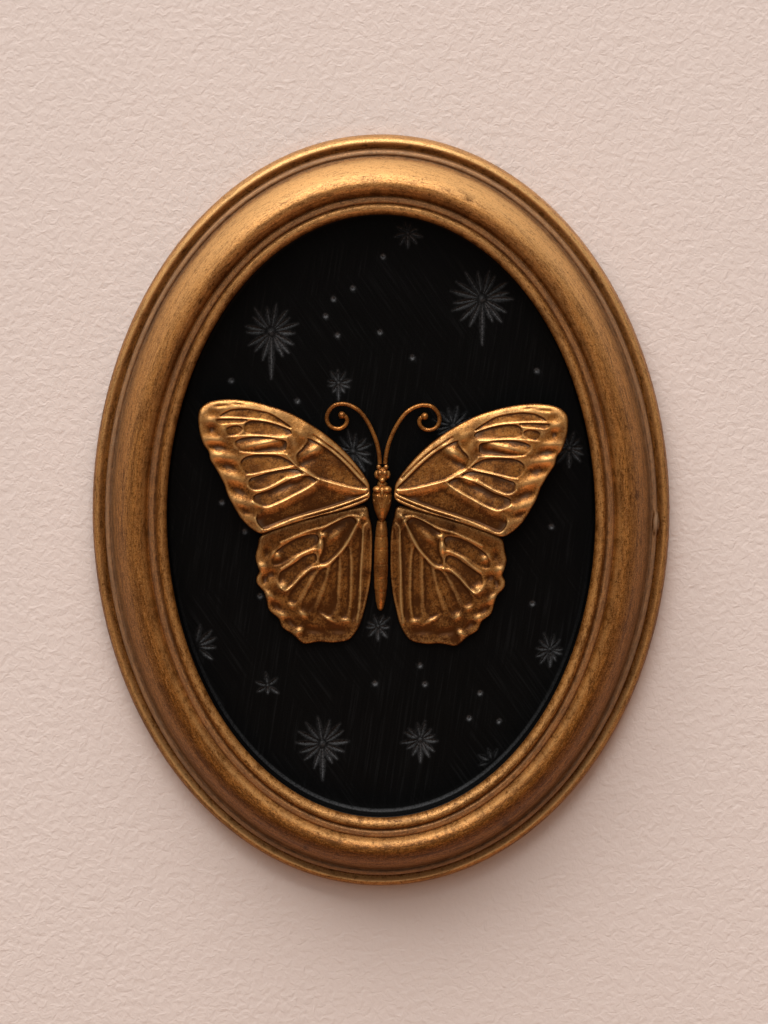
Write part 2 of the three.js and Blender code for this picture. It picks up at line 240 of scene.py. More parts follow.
def addUp(tree, *values):
    total = values[0]
    for value in values[1:]:
        total = mathNode(tree, "ADD", total, value)
    return total


def times(tree, first, second):
    return mathNode(tree, "MULTIPLY", first, second)


def mixColour(tree, share, first, second):
    node = addNode(tree, "ShaderNodeMix", data_type="RGBA")
    feed(tree, node.inputs["Factor"], share)
    feed(tree, node.inputs[6], first)
    feed(tree, node.inputs[7], second)
    return node.outputs[2]


def noiseNode(tree, place, scale, detail=2.0, roughness=0.5, distortion=0.0):
    node = addNode(tree, "ShaderNodeTexNoise")
    feedAll(tree, node, {"Vector": place, "Scale": scale, "Detail": detail, "Roughness": roughness,
                         "Distortion": distortion})
    return node.outputs["Fac"]


def rangeNode(tree, value, fromLow, fromHigh, toLow=0.0, toHigh=1.0):
    node = addNode(tree, "ShaderNodeMapRange", interpolation_type="SMOOTHSTEP")
    feedAll(tree, node, {"Value": value, "From Min": fromLow, "From Max": fromHigh,
                         "To Min": toLow, "To Max": toHigh})
    return node.outputs["Result"]


def stretchNode(tree, place, stretch, turn=0.0):
    node = addNode(tree, "ShaderNodeMapping", vector_type="TEXTURE")
    inverse = [1 / share for share in stretch]
    feedAll(tree, node, {"Vector": place, "Scale": inverse, "Rotation": (0, turn, 0)})
    return node.outputs["Vector"]


def attributeNode(tree, name, output="Fac"):
    return addNode(tree, "ShaderNodeAttribute", attribute_name=name).outputs[output]


def objectPlace(tree):
    return addNode(tree, "ShaderNodeTexCoord").outputs["Object"]


def newMaterial(name):
    material = bpy.data.materials.new(name)
    material.use_nodes = True
    return material, material.node_tree, material.node_tree.nodes["Principled BSDF"]


def addBump(tree, shader, height, strength, distance):
    bump = addNode(tree, "ShaderNodeBump")
    feedAll(tree, bump, {"Strength": strength, "Distance": distance, "Height": height})
    feed(tree, shader.inputs["Normal"], bump.outputs["Normal"])


# Old gilding of the frame and the butterfly: gold paint, brown glaze in the hollows, grey wax, fine specks,
# and the painted shade and painted highlights that each piece passes in with its glaze and its rubbing
def makeGiltGroup():
    group = bpy.data.node_groups.new("oldGilding", "ShaderNodeTree")
    for name, kind in (("Place", "Vector"), ("Fine", "Vector"), ("Glazing_and_shade", "Float"), ("Rub_and_highlight", "Float"),
                       ("Wax", "Float"), ("Gold", "Color"), ("Deep", "Color"), ("Bright", "Color"),
                       ("Dark_tone", "Color"), ("Grey", "Color"), ("Clouds", "Float"), ("Specks", "Float"),
                       ("Mottle", "Float"), ("Dull", "Float"), ("Metal", "Float")):
        group.interface.new_socket(name=name, in_out="INPUT", socket_type="NodeSocket" + kind)
    for name, kind in (("Color", "Color"), ("Roughness", "Float"), ("Metallic", "Float"),
                       ("Height", "Float")):
        group.interface.new_socket(name=name, in_out="OUTPUT", socket_type="NodeSocket" + kind)
    given = addNode(group, "NodeGroupInput").outputs
    result = addNode(group, "NodeGroupOutput").inputs
    clouds = noiseNode(group, given["Place"], given["Clouds"], 4.0, 0.6, 0.4)
    streaks = noiseNode(group, given["Place"], times(group, given["Clouds"], 4.0), 4.0, 0.65)
    specks = noiseNode(group, given["Fine"], given["Specks"], 2.0, 0.6)
    specks_and_sheen = noiseNode(group, given["Fine"], times(group, given["Specks"], 1.9), 1.0)
    gold = mixColour(group, rangeNode(group, clouds, 0.36, 0.62), given["Deep"], given["Gold"])
    # rubbed places turn bright gold: bare gilding, partly a painted highlight
    gold = mixColour(group, times(group, given["Rub_and_highlight"], 0.8), gold, given["Bright"])
    # painted sparkle: where the fine specks are low the gold is lightened towards bright
    gold = mixColour(group, rangeNode(group, specks_and_sheen, 0.5, 0.28, 0.0, 0.35), gold, given["Bright"])
    # glaze lies in specks, streaks and worn patches, and wherever the piece puts its glaze and its painted
    # shade
    gathers = [times(group, rangeNode(group, pattern, low, high), share) for pattern, low, high, share in (
        (specks, 0.4, 0.74, 0.42), (specks_and_sheen, 0.48, 0.72, 0.3), (streaks, 0.44, 0.68, given["Mottle"]),
        (clouds, 0.48, 0.36, 0.25))]
    # the rubbing, with its painted highlights, clears the glaze and the painted shade
    bared_and_highlit = times(group, given["Rub_and_highlight"], 0.4)
    stain_and_shade = mathNode(group, "SUBTRACT", addUp(group, *gathers, given["Glazing_and_shade"]), bared_and_highlit, clamp=True)
    colour = mixColour(group, stain_and_shade, gold, given["Dark_tone"])
    waxShare = rangeNode(group, streaks, 0.3, 0.62, 1.0, 0.55)
    waxMask = mathNode(group, "MULTIPLY", given["Wax"], waxShare, clamp=True)
    feed(group, result["Color"], mixColour(group, waxMask, colour, given["Grey"]))
    grit = rangeNode(group, specks_and_sheen, 0.3, 0.7, -0.06, 0.06)
    rough = addUp(group, times(group, stain_and_shade, 0.1), times(group, waxMask, 0.1), given["Dull"], grit)
    feed(group, result["Roughness"], rough)
    bare = mathNode(group, "SUBTRACT", given["Metal"], times(group, stain_and_shade, 0.3))
    bare = mathNode(group, "SUBTRACT", bare, times(group, waxMask, 0.4), clamp=True)
    feed(group, result["Metallic"], bare)
    grain = addUp(group, times(group, specks, 0.7), times(group, streaks, 0.8), times(group, specks_and_sheen, 0.3))
    feed(group, result["Height"], grain)
    return group


giltGroup = makeGiltGroup()


def makeGilt(name, look, place):
    material, tree, shader = newMaterial(name)
    gilt = addNode(tree, "ShaderNodeGroup", node_tree=giltGroup)
    feed(tree, gilt.inputs["Place"], attributeNode(tree, place, "Vector") if place else objectPlace(tree))
    feed(tree, gilt.inputs["Fine"], objectPlace(tree))
    for layer in ("glazing_and_shade", "rub_and_highlight", "wax"):
        feed(tree, gilt.inputs[layer.capitalize()], attributeNode(tree, layer))
    for tone in ("gold", "deep", "bright", "dark_tone", "grey"):
        gilt.inputs[tone.capitalize()].default_value = (*look[tone], 1)
    for value in ("clouds", "specks", "mottle", "dull", "metal"):
        gilt.inputs[value.capitalize()].default_value = look[value]
    feedAll(tree, shader, {"Base Color": gilt.outputs["Color"], "Roughness": gilt.outputs["Roughness"],
                           "Metallic": gilt.outputs["Metallic"], "Coat Weight": look["lacquer"],
                           "Coat Roughness": 0.35, "Specular Tint": (*look["bright"], 1)})
    addBump(tree, shader, gilt.outputs["Height"], look["bumpStrength"], look["bumpDepth"] * mm)
    return material


# Moulding round the oval, spun from its profile
moulding = {
    "ringSteps": 380, "cornerSegments": 5, "waver": 0.07,
    # distance in from the outer edge, height off the wall, and how far that corner is rounded
    "corners": [
        (17, 0, 0), (0, 0, 0.3), (0, 4.6, 1), (0.7, 6.4, 0.7), (1.7, 6.6, 0.6), (2.6, 5.3, 0.5),
        (3.4, 5.1, 0.15), (3.5, 7.9, 0.35), (4.4, 8.2, 0.3), (4.95, 7.6, 0.25), (5.5, 8.4, 0.3),
        (6.4, 11.2, 1.2), (7.8, 14, 1.6), (9.4, 16.3, 1.6), (11.5, 17.6, 1.5), (13, 16.9, 1.2),
        (14.05, 15.6, 0.8), (14.45, 14.4, 0.3), (14.75, 14.2, 0.2), (15.1, 14.75, 0.25),
        (16.35, 14.95, 0.3), (16.8, 14.2, 0.2), (17.3, 15, 0.3), (18.4, 15.1, 0.6), (19.4, 14.2, 0.5),
        (19.8, 13.4, 0.3), (19.8, 12.2, 0.1), (17, 12.2, 0),
    ],
    # by distance in from the outer edge: glaze, wax and how bare it is rubbed, the rubbing on the beads and
    # the torus partly a painted highlight, then painted shade away from the top of the oval and more at its
    # bottom, and painted highlights on its shoulders at the bottom and at the top
    "finish": {
        "glazing_and_shade": [
            (0, 0.35), (0.6, 0.05), (1.9, 0), (2.6, 0.2), (3.4, 0.45), (3.6, 0.1), (4.4, 0), (4.85, 0.5),
            (5.3, 0.3), (6, 0.05), (12, 0), (13.4, 0.1), (14.3, 0.4), (14.75, 0.4), (15.1, 0.1),
            (16.2, 0.1), (16.8, 0.5), (17.3, 0.15), (18.6, 0.1), (19.3, 0.25), (19.8, 0.6),
        ],
        "wax": [
            (3.2, 0), (3.5, 0.5), (3.8, 0.7), (4.4, 0.7), (4.9, 0.45), (5.5, 0.3), (6.4, 0.1), (7.2, 0),
            (14.6, 0), (15, 0.3), (15.6, 0.4), (16.3, 0.35), (16.8, 0.1), (17.5, 0), (20, 0),
        ],
        "rub_and_highlight": [
            (0.1, 0.3), (0.8, 0.7), (1.9, 0.7), (2.6, 0.3), (3.2, 0), (5.3, 0), (6, 0.35), (8.5, 0.4),
            (11, 0.2), (12.6, 0.25), (13.6, 0.4), (14.3, 0), (17.3, 0), (18.2, 0.6), (19.2, 0.3),
            (19.7, 0),
        ],
        # painted shade everywhere but the top of the oval, most on the torus and by the inner bead, with the
        # groove inside the torus painted lighter
        "lowerPaintedShadeAndLight": [
            (1.2, 0.1), (1.6, 0), (5, 0.1), (6.2, 0.22), (12.3, 0.24), (13.2, 0.03), (13.8, -0.05),
            (14.4, -0.2), (15, -0.15), (15.6, 0), (16.4, 0.1), (17.8, 0.25), (18.6, 0), (20, 0),
        ],
        # painted shade on the torus at the bottom of the oval
        "bottomPaintedShade": [
            (8, 0), (9.5, 0.2), (12, 0.25), (13.2, 0), (17.3, 0), (18.2, 0.1), (19, 0.1), (20, 0),
        ],
        # at the bottom of the oval: painted highlights on the outer bead, the torus's inner slope and the
        # inner bead, and painted shade on the torus's crest
        "bottomPaintedHighlightAndShade": [
            (1.2, 0), (1.7, 0.8), (2.6, 0.8), (3.1, 0), (8, 0), (9.5, -0.3), (12.4, -0.3), (13.2, 0.1),
            (13.7, 0.35), (14.4, 0.3), (15.6, 0.2), (16, 0), (18.2, 0), (18.8, 0.25), (19.6, 0.2),
        ],
        # at the top of the oval: painted highlights on the outer bead, the torus's outer flank and the inner
        # bead
        "topPaintedHighlight": [
            (0, 0.3), (1.2, 0.2), (2, 0), (5.4, 0), (5.9, 0.5), (8, 0.5), (11, 0.1), (13, 0), (16.8, 0),
            (17.3, 0.4), (18.2, 0),
        ],
    },
    # small knocks: x, y, radius and depth
    "dings": [
        (67.3, 6.5, 0.8, 0.25), (-61, -4, 0.9, 0.12), (23, 84.6, 0.9, 0.2), (-47, 58, 0.8, 0.15),
        (54.6, -12.8, 0.5, 0.3), (-58, -45, 0.8, 0.15), (33, -82, 1, 0.18), (-20, -88, 0.8, 0.15),
    ],
    # lens-shaped join on the thin fillet: x, y, half width, half length and height
    "join": (72.6, -2.2, 0.95, 3.1, 8.6),
    "pocket": {"width": 38, "height": 9, "depth": 2.6, "centre": 90.4},
    # how the gilding's streaks run round the oval and across the moulding
    "streakAcross": 0.09, "streakHeight": 0.6,
}
mouldingLook = {
    "gold": (0.37, 0.133, 0.023), "deep": (0.23, 0.07, 0.01), "bright": (0.68, 0.4, 0.16),
    "dark_tone": (0.07, 0.021, 0.002), "grey": (0.25, 0.17, 0.11), "clouds": 9.0, "specks": 1900.0,
    "mottle": 0.55, "dull": 0.46, "metal": 0.5, "lacquer": 0.1, "bumpStrength": 0.5, "bumpDepth": 0.12,
}


def makeMoulding():
    bm = bmesh.new()
    corners = [bm.verts.new((halfWidth - inset, 0, height)) for inset, height, _ in moulding["corners"]]
    for start, end in zip(corners, corners[1:] + corners[:1]):
        bm.edges.new((start, end))
    for corner, (_, _, rounding) in zip(corners, moulding["corners"]):
        if rounding:
            bmesh.ops.bevel(bm, geom=[corner], offset=rounding, offset_type="OFFSET", affect="VERTICES",
                            segments=moulding["cornerSegments"], profile=0.5, material=-1)
    wideEdges = [edge for edge in bm.edges if edge.calc_length() > 3]
    bmesh.ops.subdivide_edges(bm, edges=wideEdges, cuts=4)
    bmesh.ops.spin(bm, geom=bm.verts[:] + bm.edges[:], cent=(0, 0, 0), axis=(0, 0, 1), angle=2 * math.pi,
                   steps=moulding["ringSteps"], use_merge=True)
    closeMesh(bm, 1e-3)
    return bm


def dressMoulding(bm):
    places = placesOf(bm)
    radius = np.hypot(places[:, 0], places[:, 1])
    inset = halfWidth - radius
    turn = np.arctan2(places[:, 1], places[:, 0])
    across = (inset + moulding["streakHeight"] * places[:, 2]) * moulding["streakAcross"]
    ringPlace = np.column_stack([np.cos(turn), np.sin(turn), across])
    places[:, 1] *= 1 + ovalStretch / radius
    front = easeBetween(2, 5, places[:, 2])
    wander = waviness(places, 0.09, 3) + 0.35 * waviness(places, 0.45, 5)
    places[:, 2] += moulding["waver"] * wander * front
    # painted light by where a place lies round the oval, high at its top and low at its bottom: painted shade
    # away from the top and at the bottom, painted highlights at the bottom and the top, and the base rubbing
    # stronger at the top as a painted highlight
    high = easeBetween(-0.1, 0.95, np.sin(turn))
    low = easeBetween(0.2, 0.95, -np.sin(turn))
    tables = {name: np.interp(inset, *zip(*table)) for name, table in moulding["finish"].items()}
    glazing_and_shade = tables["glazing_and_shade"] + (1 - high) * tables["lowerPaintedShadeAndLight"] + low * tables["bottomPaintedShade"]
    rub_and_highlight = tables["rub_and_highlight"] * (0.6 + 0.4 * high) + high ** 3 * tables["topPaintedHighlight"] + low * tables["bottomPaintedHighlightAndShade"]
    wax = tables["wax"]
    for x, y, reach, depth in moulding["dings"]:
        dent = np.exp(-((places[:, 0] - x) ** 2 + (places[:, 1] - y) ** 2) / reach ** 2) * front
        places[:, 2] -= depth * dent
        glazing_and_shade += 0.7 * dent
    joinX, joinY, joinHalfWidth, joinHalfLength, joinHeight = moulding["join"]
    oval = np.hypot((places[:, 0] - joinX) / joinHalfWidth, (places[:, 1] - joinY) / joinHalfLength)
    lens = front * (1 - easeBetween(0.75, 1, oval))
    places[:, 2] = np.maximum(places[:, 2], places[:, 2] * (1 - lens) + joinHeight * lens)
    crack = front * np.exp(-((oval - 1.02) / 0.16) ** 2)
    glazing_and_shade += crack
    wax += 0.5 * lens - crack
    setPlaces(bm, places)
    for name, values in (("glazing_and_shade", glazing_and_shade), ("wax", wax), ("rub_and_highlight", rub_and_highlight)):
        setLayer(bm, name, np.clip(values, 0, 1))
    layer = bm.verts.layers.float_vector.new("ringPlace")
    for vert, place in zip(bm.verts, ringPlace):
        vert[layer] = place


def cutPocket(piece):
    pocket = moulding["pocket"]
    bm = bmesh.new()
    bmesh.ops.create_cube(bm, size=1)
    bmesh.ops.scale(bm, vec=(pocket["width"], pocket["height"], 2 * pocket["depth"]), verts=bm.verts)
    bmesh.ops.translate(bm, vec=(0, pocket["centre"], 0), verts=bm.verts)
    cutter = objectFrom(bm, "pocketCutter", standUp)
    cut = piece.modifiers.new("pocket", "BOOLEAN")
    cut.object = cutter
    cut.solver = "EXACT"
    bakeModifiers(piece)
    bpy.data.objects.remove(cutter)


giltFrame = makeGilt("giltFrame", mouldingLook, "ringPlace")
mouldingMesh = makeMoulding()
dressMoulding(mouldingMesh)
ovalFrame = finishPiece(mouldingMesh, "oval_frame", giltFrame, "frame")
cutPocket(ovalFrame)
print("hanger pocket cut")


# Black panel: an engraved floor inside a filleted dish
panel = {
    "floor": 5.5, "floorRadius": 55.1, "wallRadius": 56.3, "outerRadius": 58.9,
    # rim height and rounding, and how much speckled grey is painted as a highlight on the fillet at the
    # bottom of the oval
    "rim": 11.9, "rimRound": 0.2, "specks_and_sheen": 0.28,
    "gridAcross": 86, "gridUp": 122,
    "filletSteps": 6,
    "waver": 0.06,
    # each star: centre x, y, ray length, ray count, length of the ray that points straight down
    "stars": [
        (-28.9, 48.3, 8.2, 17, 12.4), (26.6, 57.1, 8.4, 17, 12.2), (-15.5, -61.5, 7.1, 15, 9.8),
        (10.4, -60.5, 5.2, 13, 6), (44.7, -36.3, 4.6, 11, 4.6), (-49.2, -35.6, 6.2, 13, 7),
        (-30, -46, 3.6, 6, 2), (-0.8, -30.1, 3.8, 9, 3.8), (-11.2, 34.7, 3.6, 10, 4.4),
        (-7.4, 16.6, 6, 13, 6), (19, 23.3, 5.8, 13, 5.8), (49.6, 17.4, 5, 11, 5),
        (29.6, -66.4, 4.6, 9, 4.6), (7, 74.4, 3.8, 9, 3.8),
    ],
    "pits": [
        (-7.4, 59.9), (0.5, 68.2), (8.2, 41.5), (-12.5, 57), (-14.6, 52.5), (-11.4, 47.4), (-0.3, 48.2),
        (-39.5, 35.4), (-1.6, -45.4), (10.3, -40.6), (11.6, -45.6), (26.2, -48), (23.3, -54.7),
        (31.2, -55.5), (40, -24), (36, 12), (-42, 3), (-36, -4.8), (-32, -22), (45, -3.5), (41, 38),
        (-22, 30),
    ],
    "rayDepth": 0.42, "rayHalfWidth": 0.5, "lip": 0.04, "discDepth": 0.06, "pip": 0.25,
    "pitRadius": 0.62, "pitDepth": 0.4,
    "fineReach": (2.2, 1.3, 0.8),
}
panelLook = {
    "black": (0.0008, 0.0007, 0.0007), "wear_and_highlight": (0.085, 0.085, 0.088), "shine": 0.08,
    "strokeScale": 1900.0, "strokeStretch": (1, 1, 0.04), "strokeTurns": (0.15, -0.6), "strokeSheenShare": 0.026,
    "bumpStrength": 0.4, "bumpDepth": 0.1,
}


# Rays of every star as (start, end, half width, shine), with hand-cut unevenness
def starRays():
    chance = random.Random(11)
    rays = []
    for x, y, reach, count, tail in panel["stars"]:
        for i in range(count):
            angle = -math.pi / 2 + 2 * math.pi * (i + (chance.uniform(-0.22, 0.22) if i else 0)) / count
            far = tail if i == 0 else reach * chance.uniform(0.72, 1.02)
            near = reach * chance.uniform(0.17, 0.27)
            way = np.array([math.cos(angle), math.sin(angle)])
            half = panel["rayHalfWidth"] * min(1, 0.55 + reach / 16) * chance.uniform(0.85, 1.15)
            # painted highlight: the lower and right rays are painted lighter, as if they caught the light
            shine = 0.5 + 0.5 * max(0, 0.55 * way[0] - 0.84 * way[1])
            rays.append((np.array([x, y]) + near * way, np.array([x, y]) + far * way, half, shine))
    return rays


# Engraving at each place: its height, and how much worn grey shows on its lips, the lower and right rays
# lighter as a painted highlight
def engraving(places, rays):
    height = np.zeros(len(places))
    wear_and_highlight = np.zeros(len(places))
    for start, end, half, shine in rays:
        distance, along = lineDistance(places, np.array([start, end]))
        width = half * np.sin(np.pi * np.clip(along, 0.04, 0.97) ** 0.8) ** 0.7
        cut = np.clip(1 - distance / width, 0, 1)
        height = np.minimum(height, -panel["rayDepth"] * width / half * cut ** 0.8)
        lip = np.exp(-((distance - width) / 0.28) ** 2)
        wear_and_highlight = np.maximum(wear_and_highlight, shine * np.maximum(0.3 * lip, cut ** 0.8))
    lips = np.where(height > -0.02, wear_and_highlight, 0)
    height = height + panel["lip"] * lips
    for x, y, reach, _, _ in panel["stars"]:
        distance = np.hypot(places[:, 0] - x, places[:, 1] - y) / (reach * 0.27)
        height -= panel["discDepth"] * (1 - easeBetween(0.7, 1, distance))
        height += panel["pip"] * np.exp(-(distance / 0.3) ** 2)
        wear_and_highlight = np.maximum(wear_and_highlight, 0.6 * np.exp(-(distance / 0.35) ** 2))
    for x, y in panel["pits"]:
        distance = np.hypot(places[:, 0] - x, places[:, 1] - y) / panel["pitRadius"]
        height -= panel["pitDepth"] * np.exp(-distance ** 2 * 1.6)
        wear_and_highlight = np.maximum(wear_and_highlight, np.exp(-((distance - 0.55) / 0.5) ** 2))
    return height, wear_and_highlight


def makePanel():
    bm = bmesh.new()
    bmesh.ops.create_grid(bm, x_segments=panel["gridAcross"], y_segments=panel["gridUp"], size=1)
    square = placesOf(bm)
    across, up = square[:, 0], square[:, 1]
    floorRadius = panel["floorRadius"]
    places = np.zeros_like(square)
    places[:, 0] = floorRadius * across * np.sqrt(1 - up * up / 2)
    places[:, 1] = (floorRadius + ovalStretch) * up * np.sqrt(1 - across * across / 2)
    setPlaces(bm, places)
    # finer faces near the engraving
    rays = starRays()
    marks = [np.array([start, end]) for start, end, _, _ in rays]
    marks += [np.array([[x, y], [x, y + 0.01]]) for x, y, *_ in panel["pits"] + panel["stars"]]
    for reach in panel["fineReach"]:
        flat = placesOf(bm)[:, :2]
        nearest = np.min([lineDistance(flat, mark)[0] for mark in marks], axis=0)
        bm.verts.index_update()
        edges = [edge for edge in bm.edges if not edge.is_boundary
                 and nearest[edge.verts[0].index] < reach and nearest[edge.verts[1].index] < reach]
        bmesh.ops.subdivide_edges(bm, edges=edges, cuts=1, use_grid_fill=True)
    places = placesOf(bm)
    height, wear_and_highlight = engraving(places[:, :2], rays)
    shape = np.hypot(places[:, 0] / floorRadius, places[:, 1] / (floorRadius + ovalStretch))
    inner = 1 - easeBetween(0.96, 1, shape)
    places[:, 2] = panel["floor"] + inner * (height + panel["waver"] * waviness(places, 0.16, 2))
    setPlaces(bm, places)
    setLayer(bm, "wear_and_highlight", np.clip(wear_and_highlight * inner, 0, 1))
    # fillet, wall, rim, outer wall and back
    fillet = panel["wallRadius"] - floorRadius
    rings = []
    for i in range(1, panel["filletSteps"] + 1):
        bend = math.pi / 2 * i / panel["filletSteps"]
        rings.append((floorRadius + fillet * math.sin(bend), panel["floor"] + fillet * (1 - math.cos(bend))))
    wallIn, wallOut, rim, soft = (panel[name] for name in ("wallRadius", "outerRadius", "rim", "rimRound"))
    rings += [(wallIn, rim - 2), (wallIn, rim - soft), (wallIn + soft, rim), (wallOut - soft, rim),
              (wallOut, rim - soft), (wallOut, 0.3), (wallOut - 0.3, 0)]
    layer = bm.verts.layers.float["wear_and_highlight"]
    radius = floorRadius
    for nextRadius, height in rings:
        for vert in extrudeEdges(bm, boundaryOf(bm)):
            turn = math.atan2(vert.co.y / (radius + ovalStretch), vert.co.x / radius)
            vert.co = (nextRadius * math.cos(turn), (nextRadius + ovalStretch) * math.sin(turn), height)
            # painted highlight: the lower part of the fillet at the bottom of the oval is painted speckled
            # grey
            nearFloor = height < panel["floor"] + 0.4 * fillet
            vert[layer] = panel["specks_and_sheen"] * max(-math.sin(turn), 0) ** 2 if nearFloor else 0.0
        radius = nextRadius
    bmesh.ops.holes_fill(bm, edges=boundaryOf(bm), sides=0)
    closeMesh(bm, 1e-5)
    return bm


def makeBlackPaint():
    material, tree, shader = newMaterial("blackPaint")
    place = objectPlace(tree)
    stretch, strokeScale = panelLook["strokeStretch"], panelLook["strokeScale"]
    down, sideways = (noiseNode(tree, stretchNode(tree, place, stretch, turn), strokeScale, 2.0, 0.5)
                      for turn in panelLook["strokeTurns"])
    patches = rangeNode(tree, noiseNode(tree, place, 40.0, 2.0), 0.42, 0.58)
    strokes = addNode(tree, "ShaderNodeMix", data_type="FLOAT")
    feed(tree, strokes.inputs["Factor"], patches)
    feed(tree, strokes.inputs[2], down)
    feed(tree, strokes.inputs[3], sideways)
    stroke = strokes.outputs[0]
    specks = noiseNode(tree, place, 1900.0, 2.0, 0.6)
    wear_and_highlight = times(tree, attributeNode(tree, "wear_and_highlight"), rangeNode(tree, specks, 0.3, 0.62, 0.25, 1.0))
    # painted sheen: grey along the brush strokes
    lines = times(tree, rangeNode(tree, stroke, 0.54, 0.74), panelLook["strokeSheenShare"])
    share = mathNode(tree, "ADD", wear_and_highlight, lines, clamp=True)
    feedAll(tree, shader, {
        "Base Color": mixColour(tree, share, (*panelLook["black"], 1), (*panelLook["wear_and_highlight"], 1)),
        "Roughness": rangeNode(tree, stroke, 0.3, 0.7, 0.42, 0.52), "Specular IOR Level": panelLook["shine"]})
    grain = addUp(tree, stroke, times(tree, specks, 0.5))
    addBump(tree, shader, grain, panelLook["bumpStrength"], panelLook["bumpDepth"] * mm)
    return material


blackPaint = makeBlackPaint()
finishPiece(makePanel(), "black_panel", blackPaint, "panel")


# Butterfly, in its own millimetres from the middle of the thorax, then tilted and set on the panel's floor
butterfly = {"centre": (0.24, 3.9), "tilt": -0.85}
butterflyPlace = (Matrix.Translation((*butterfly["centre"], panel["floor"]))
                  @ Matrix.Rotation(math.radians(butterfly["tilt"]), 4, "Z"))
butterflyLook = {
    "gold": (0.43, 0.158, 0.028), "deep": (0.24, 0.07, 0.009), "bright": (0.74, 0.44, 0.17),
    "dark_tone": (0.05, 0.013, 0.0015), "grey": (0.19, 0.145, 0.1), "clouds": 170.0, "specks": 2100.0,
    "mottle": 0.3, "dull": 0.33, "metal": 0.7, "lacquer": 0.15, "bumpStrength": 0.35, "bumpDepth": 0.1,
}
giltButterfly = makeGilt("giltButterfly", butterflyLook, None)

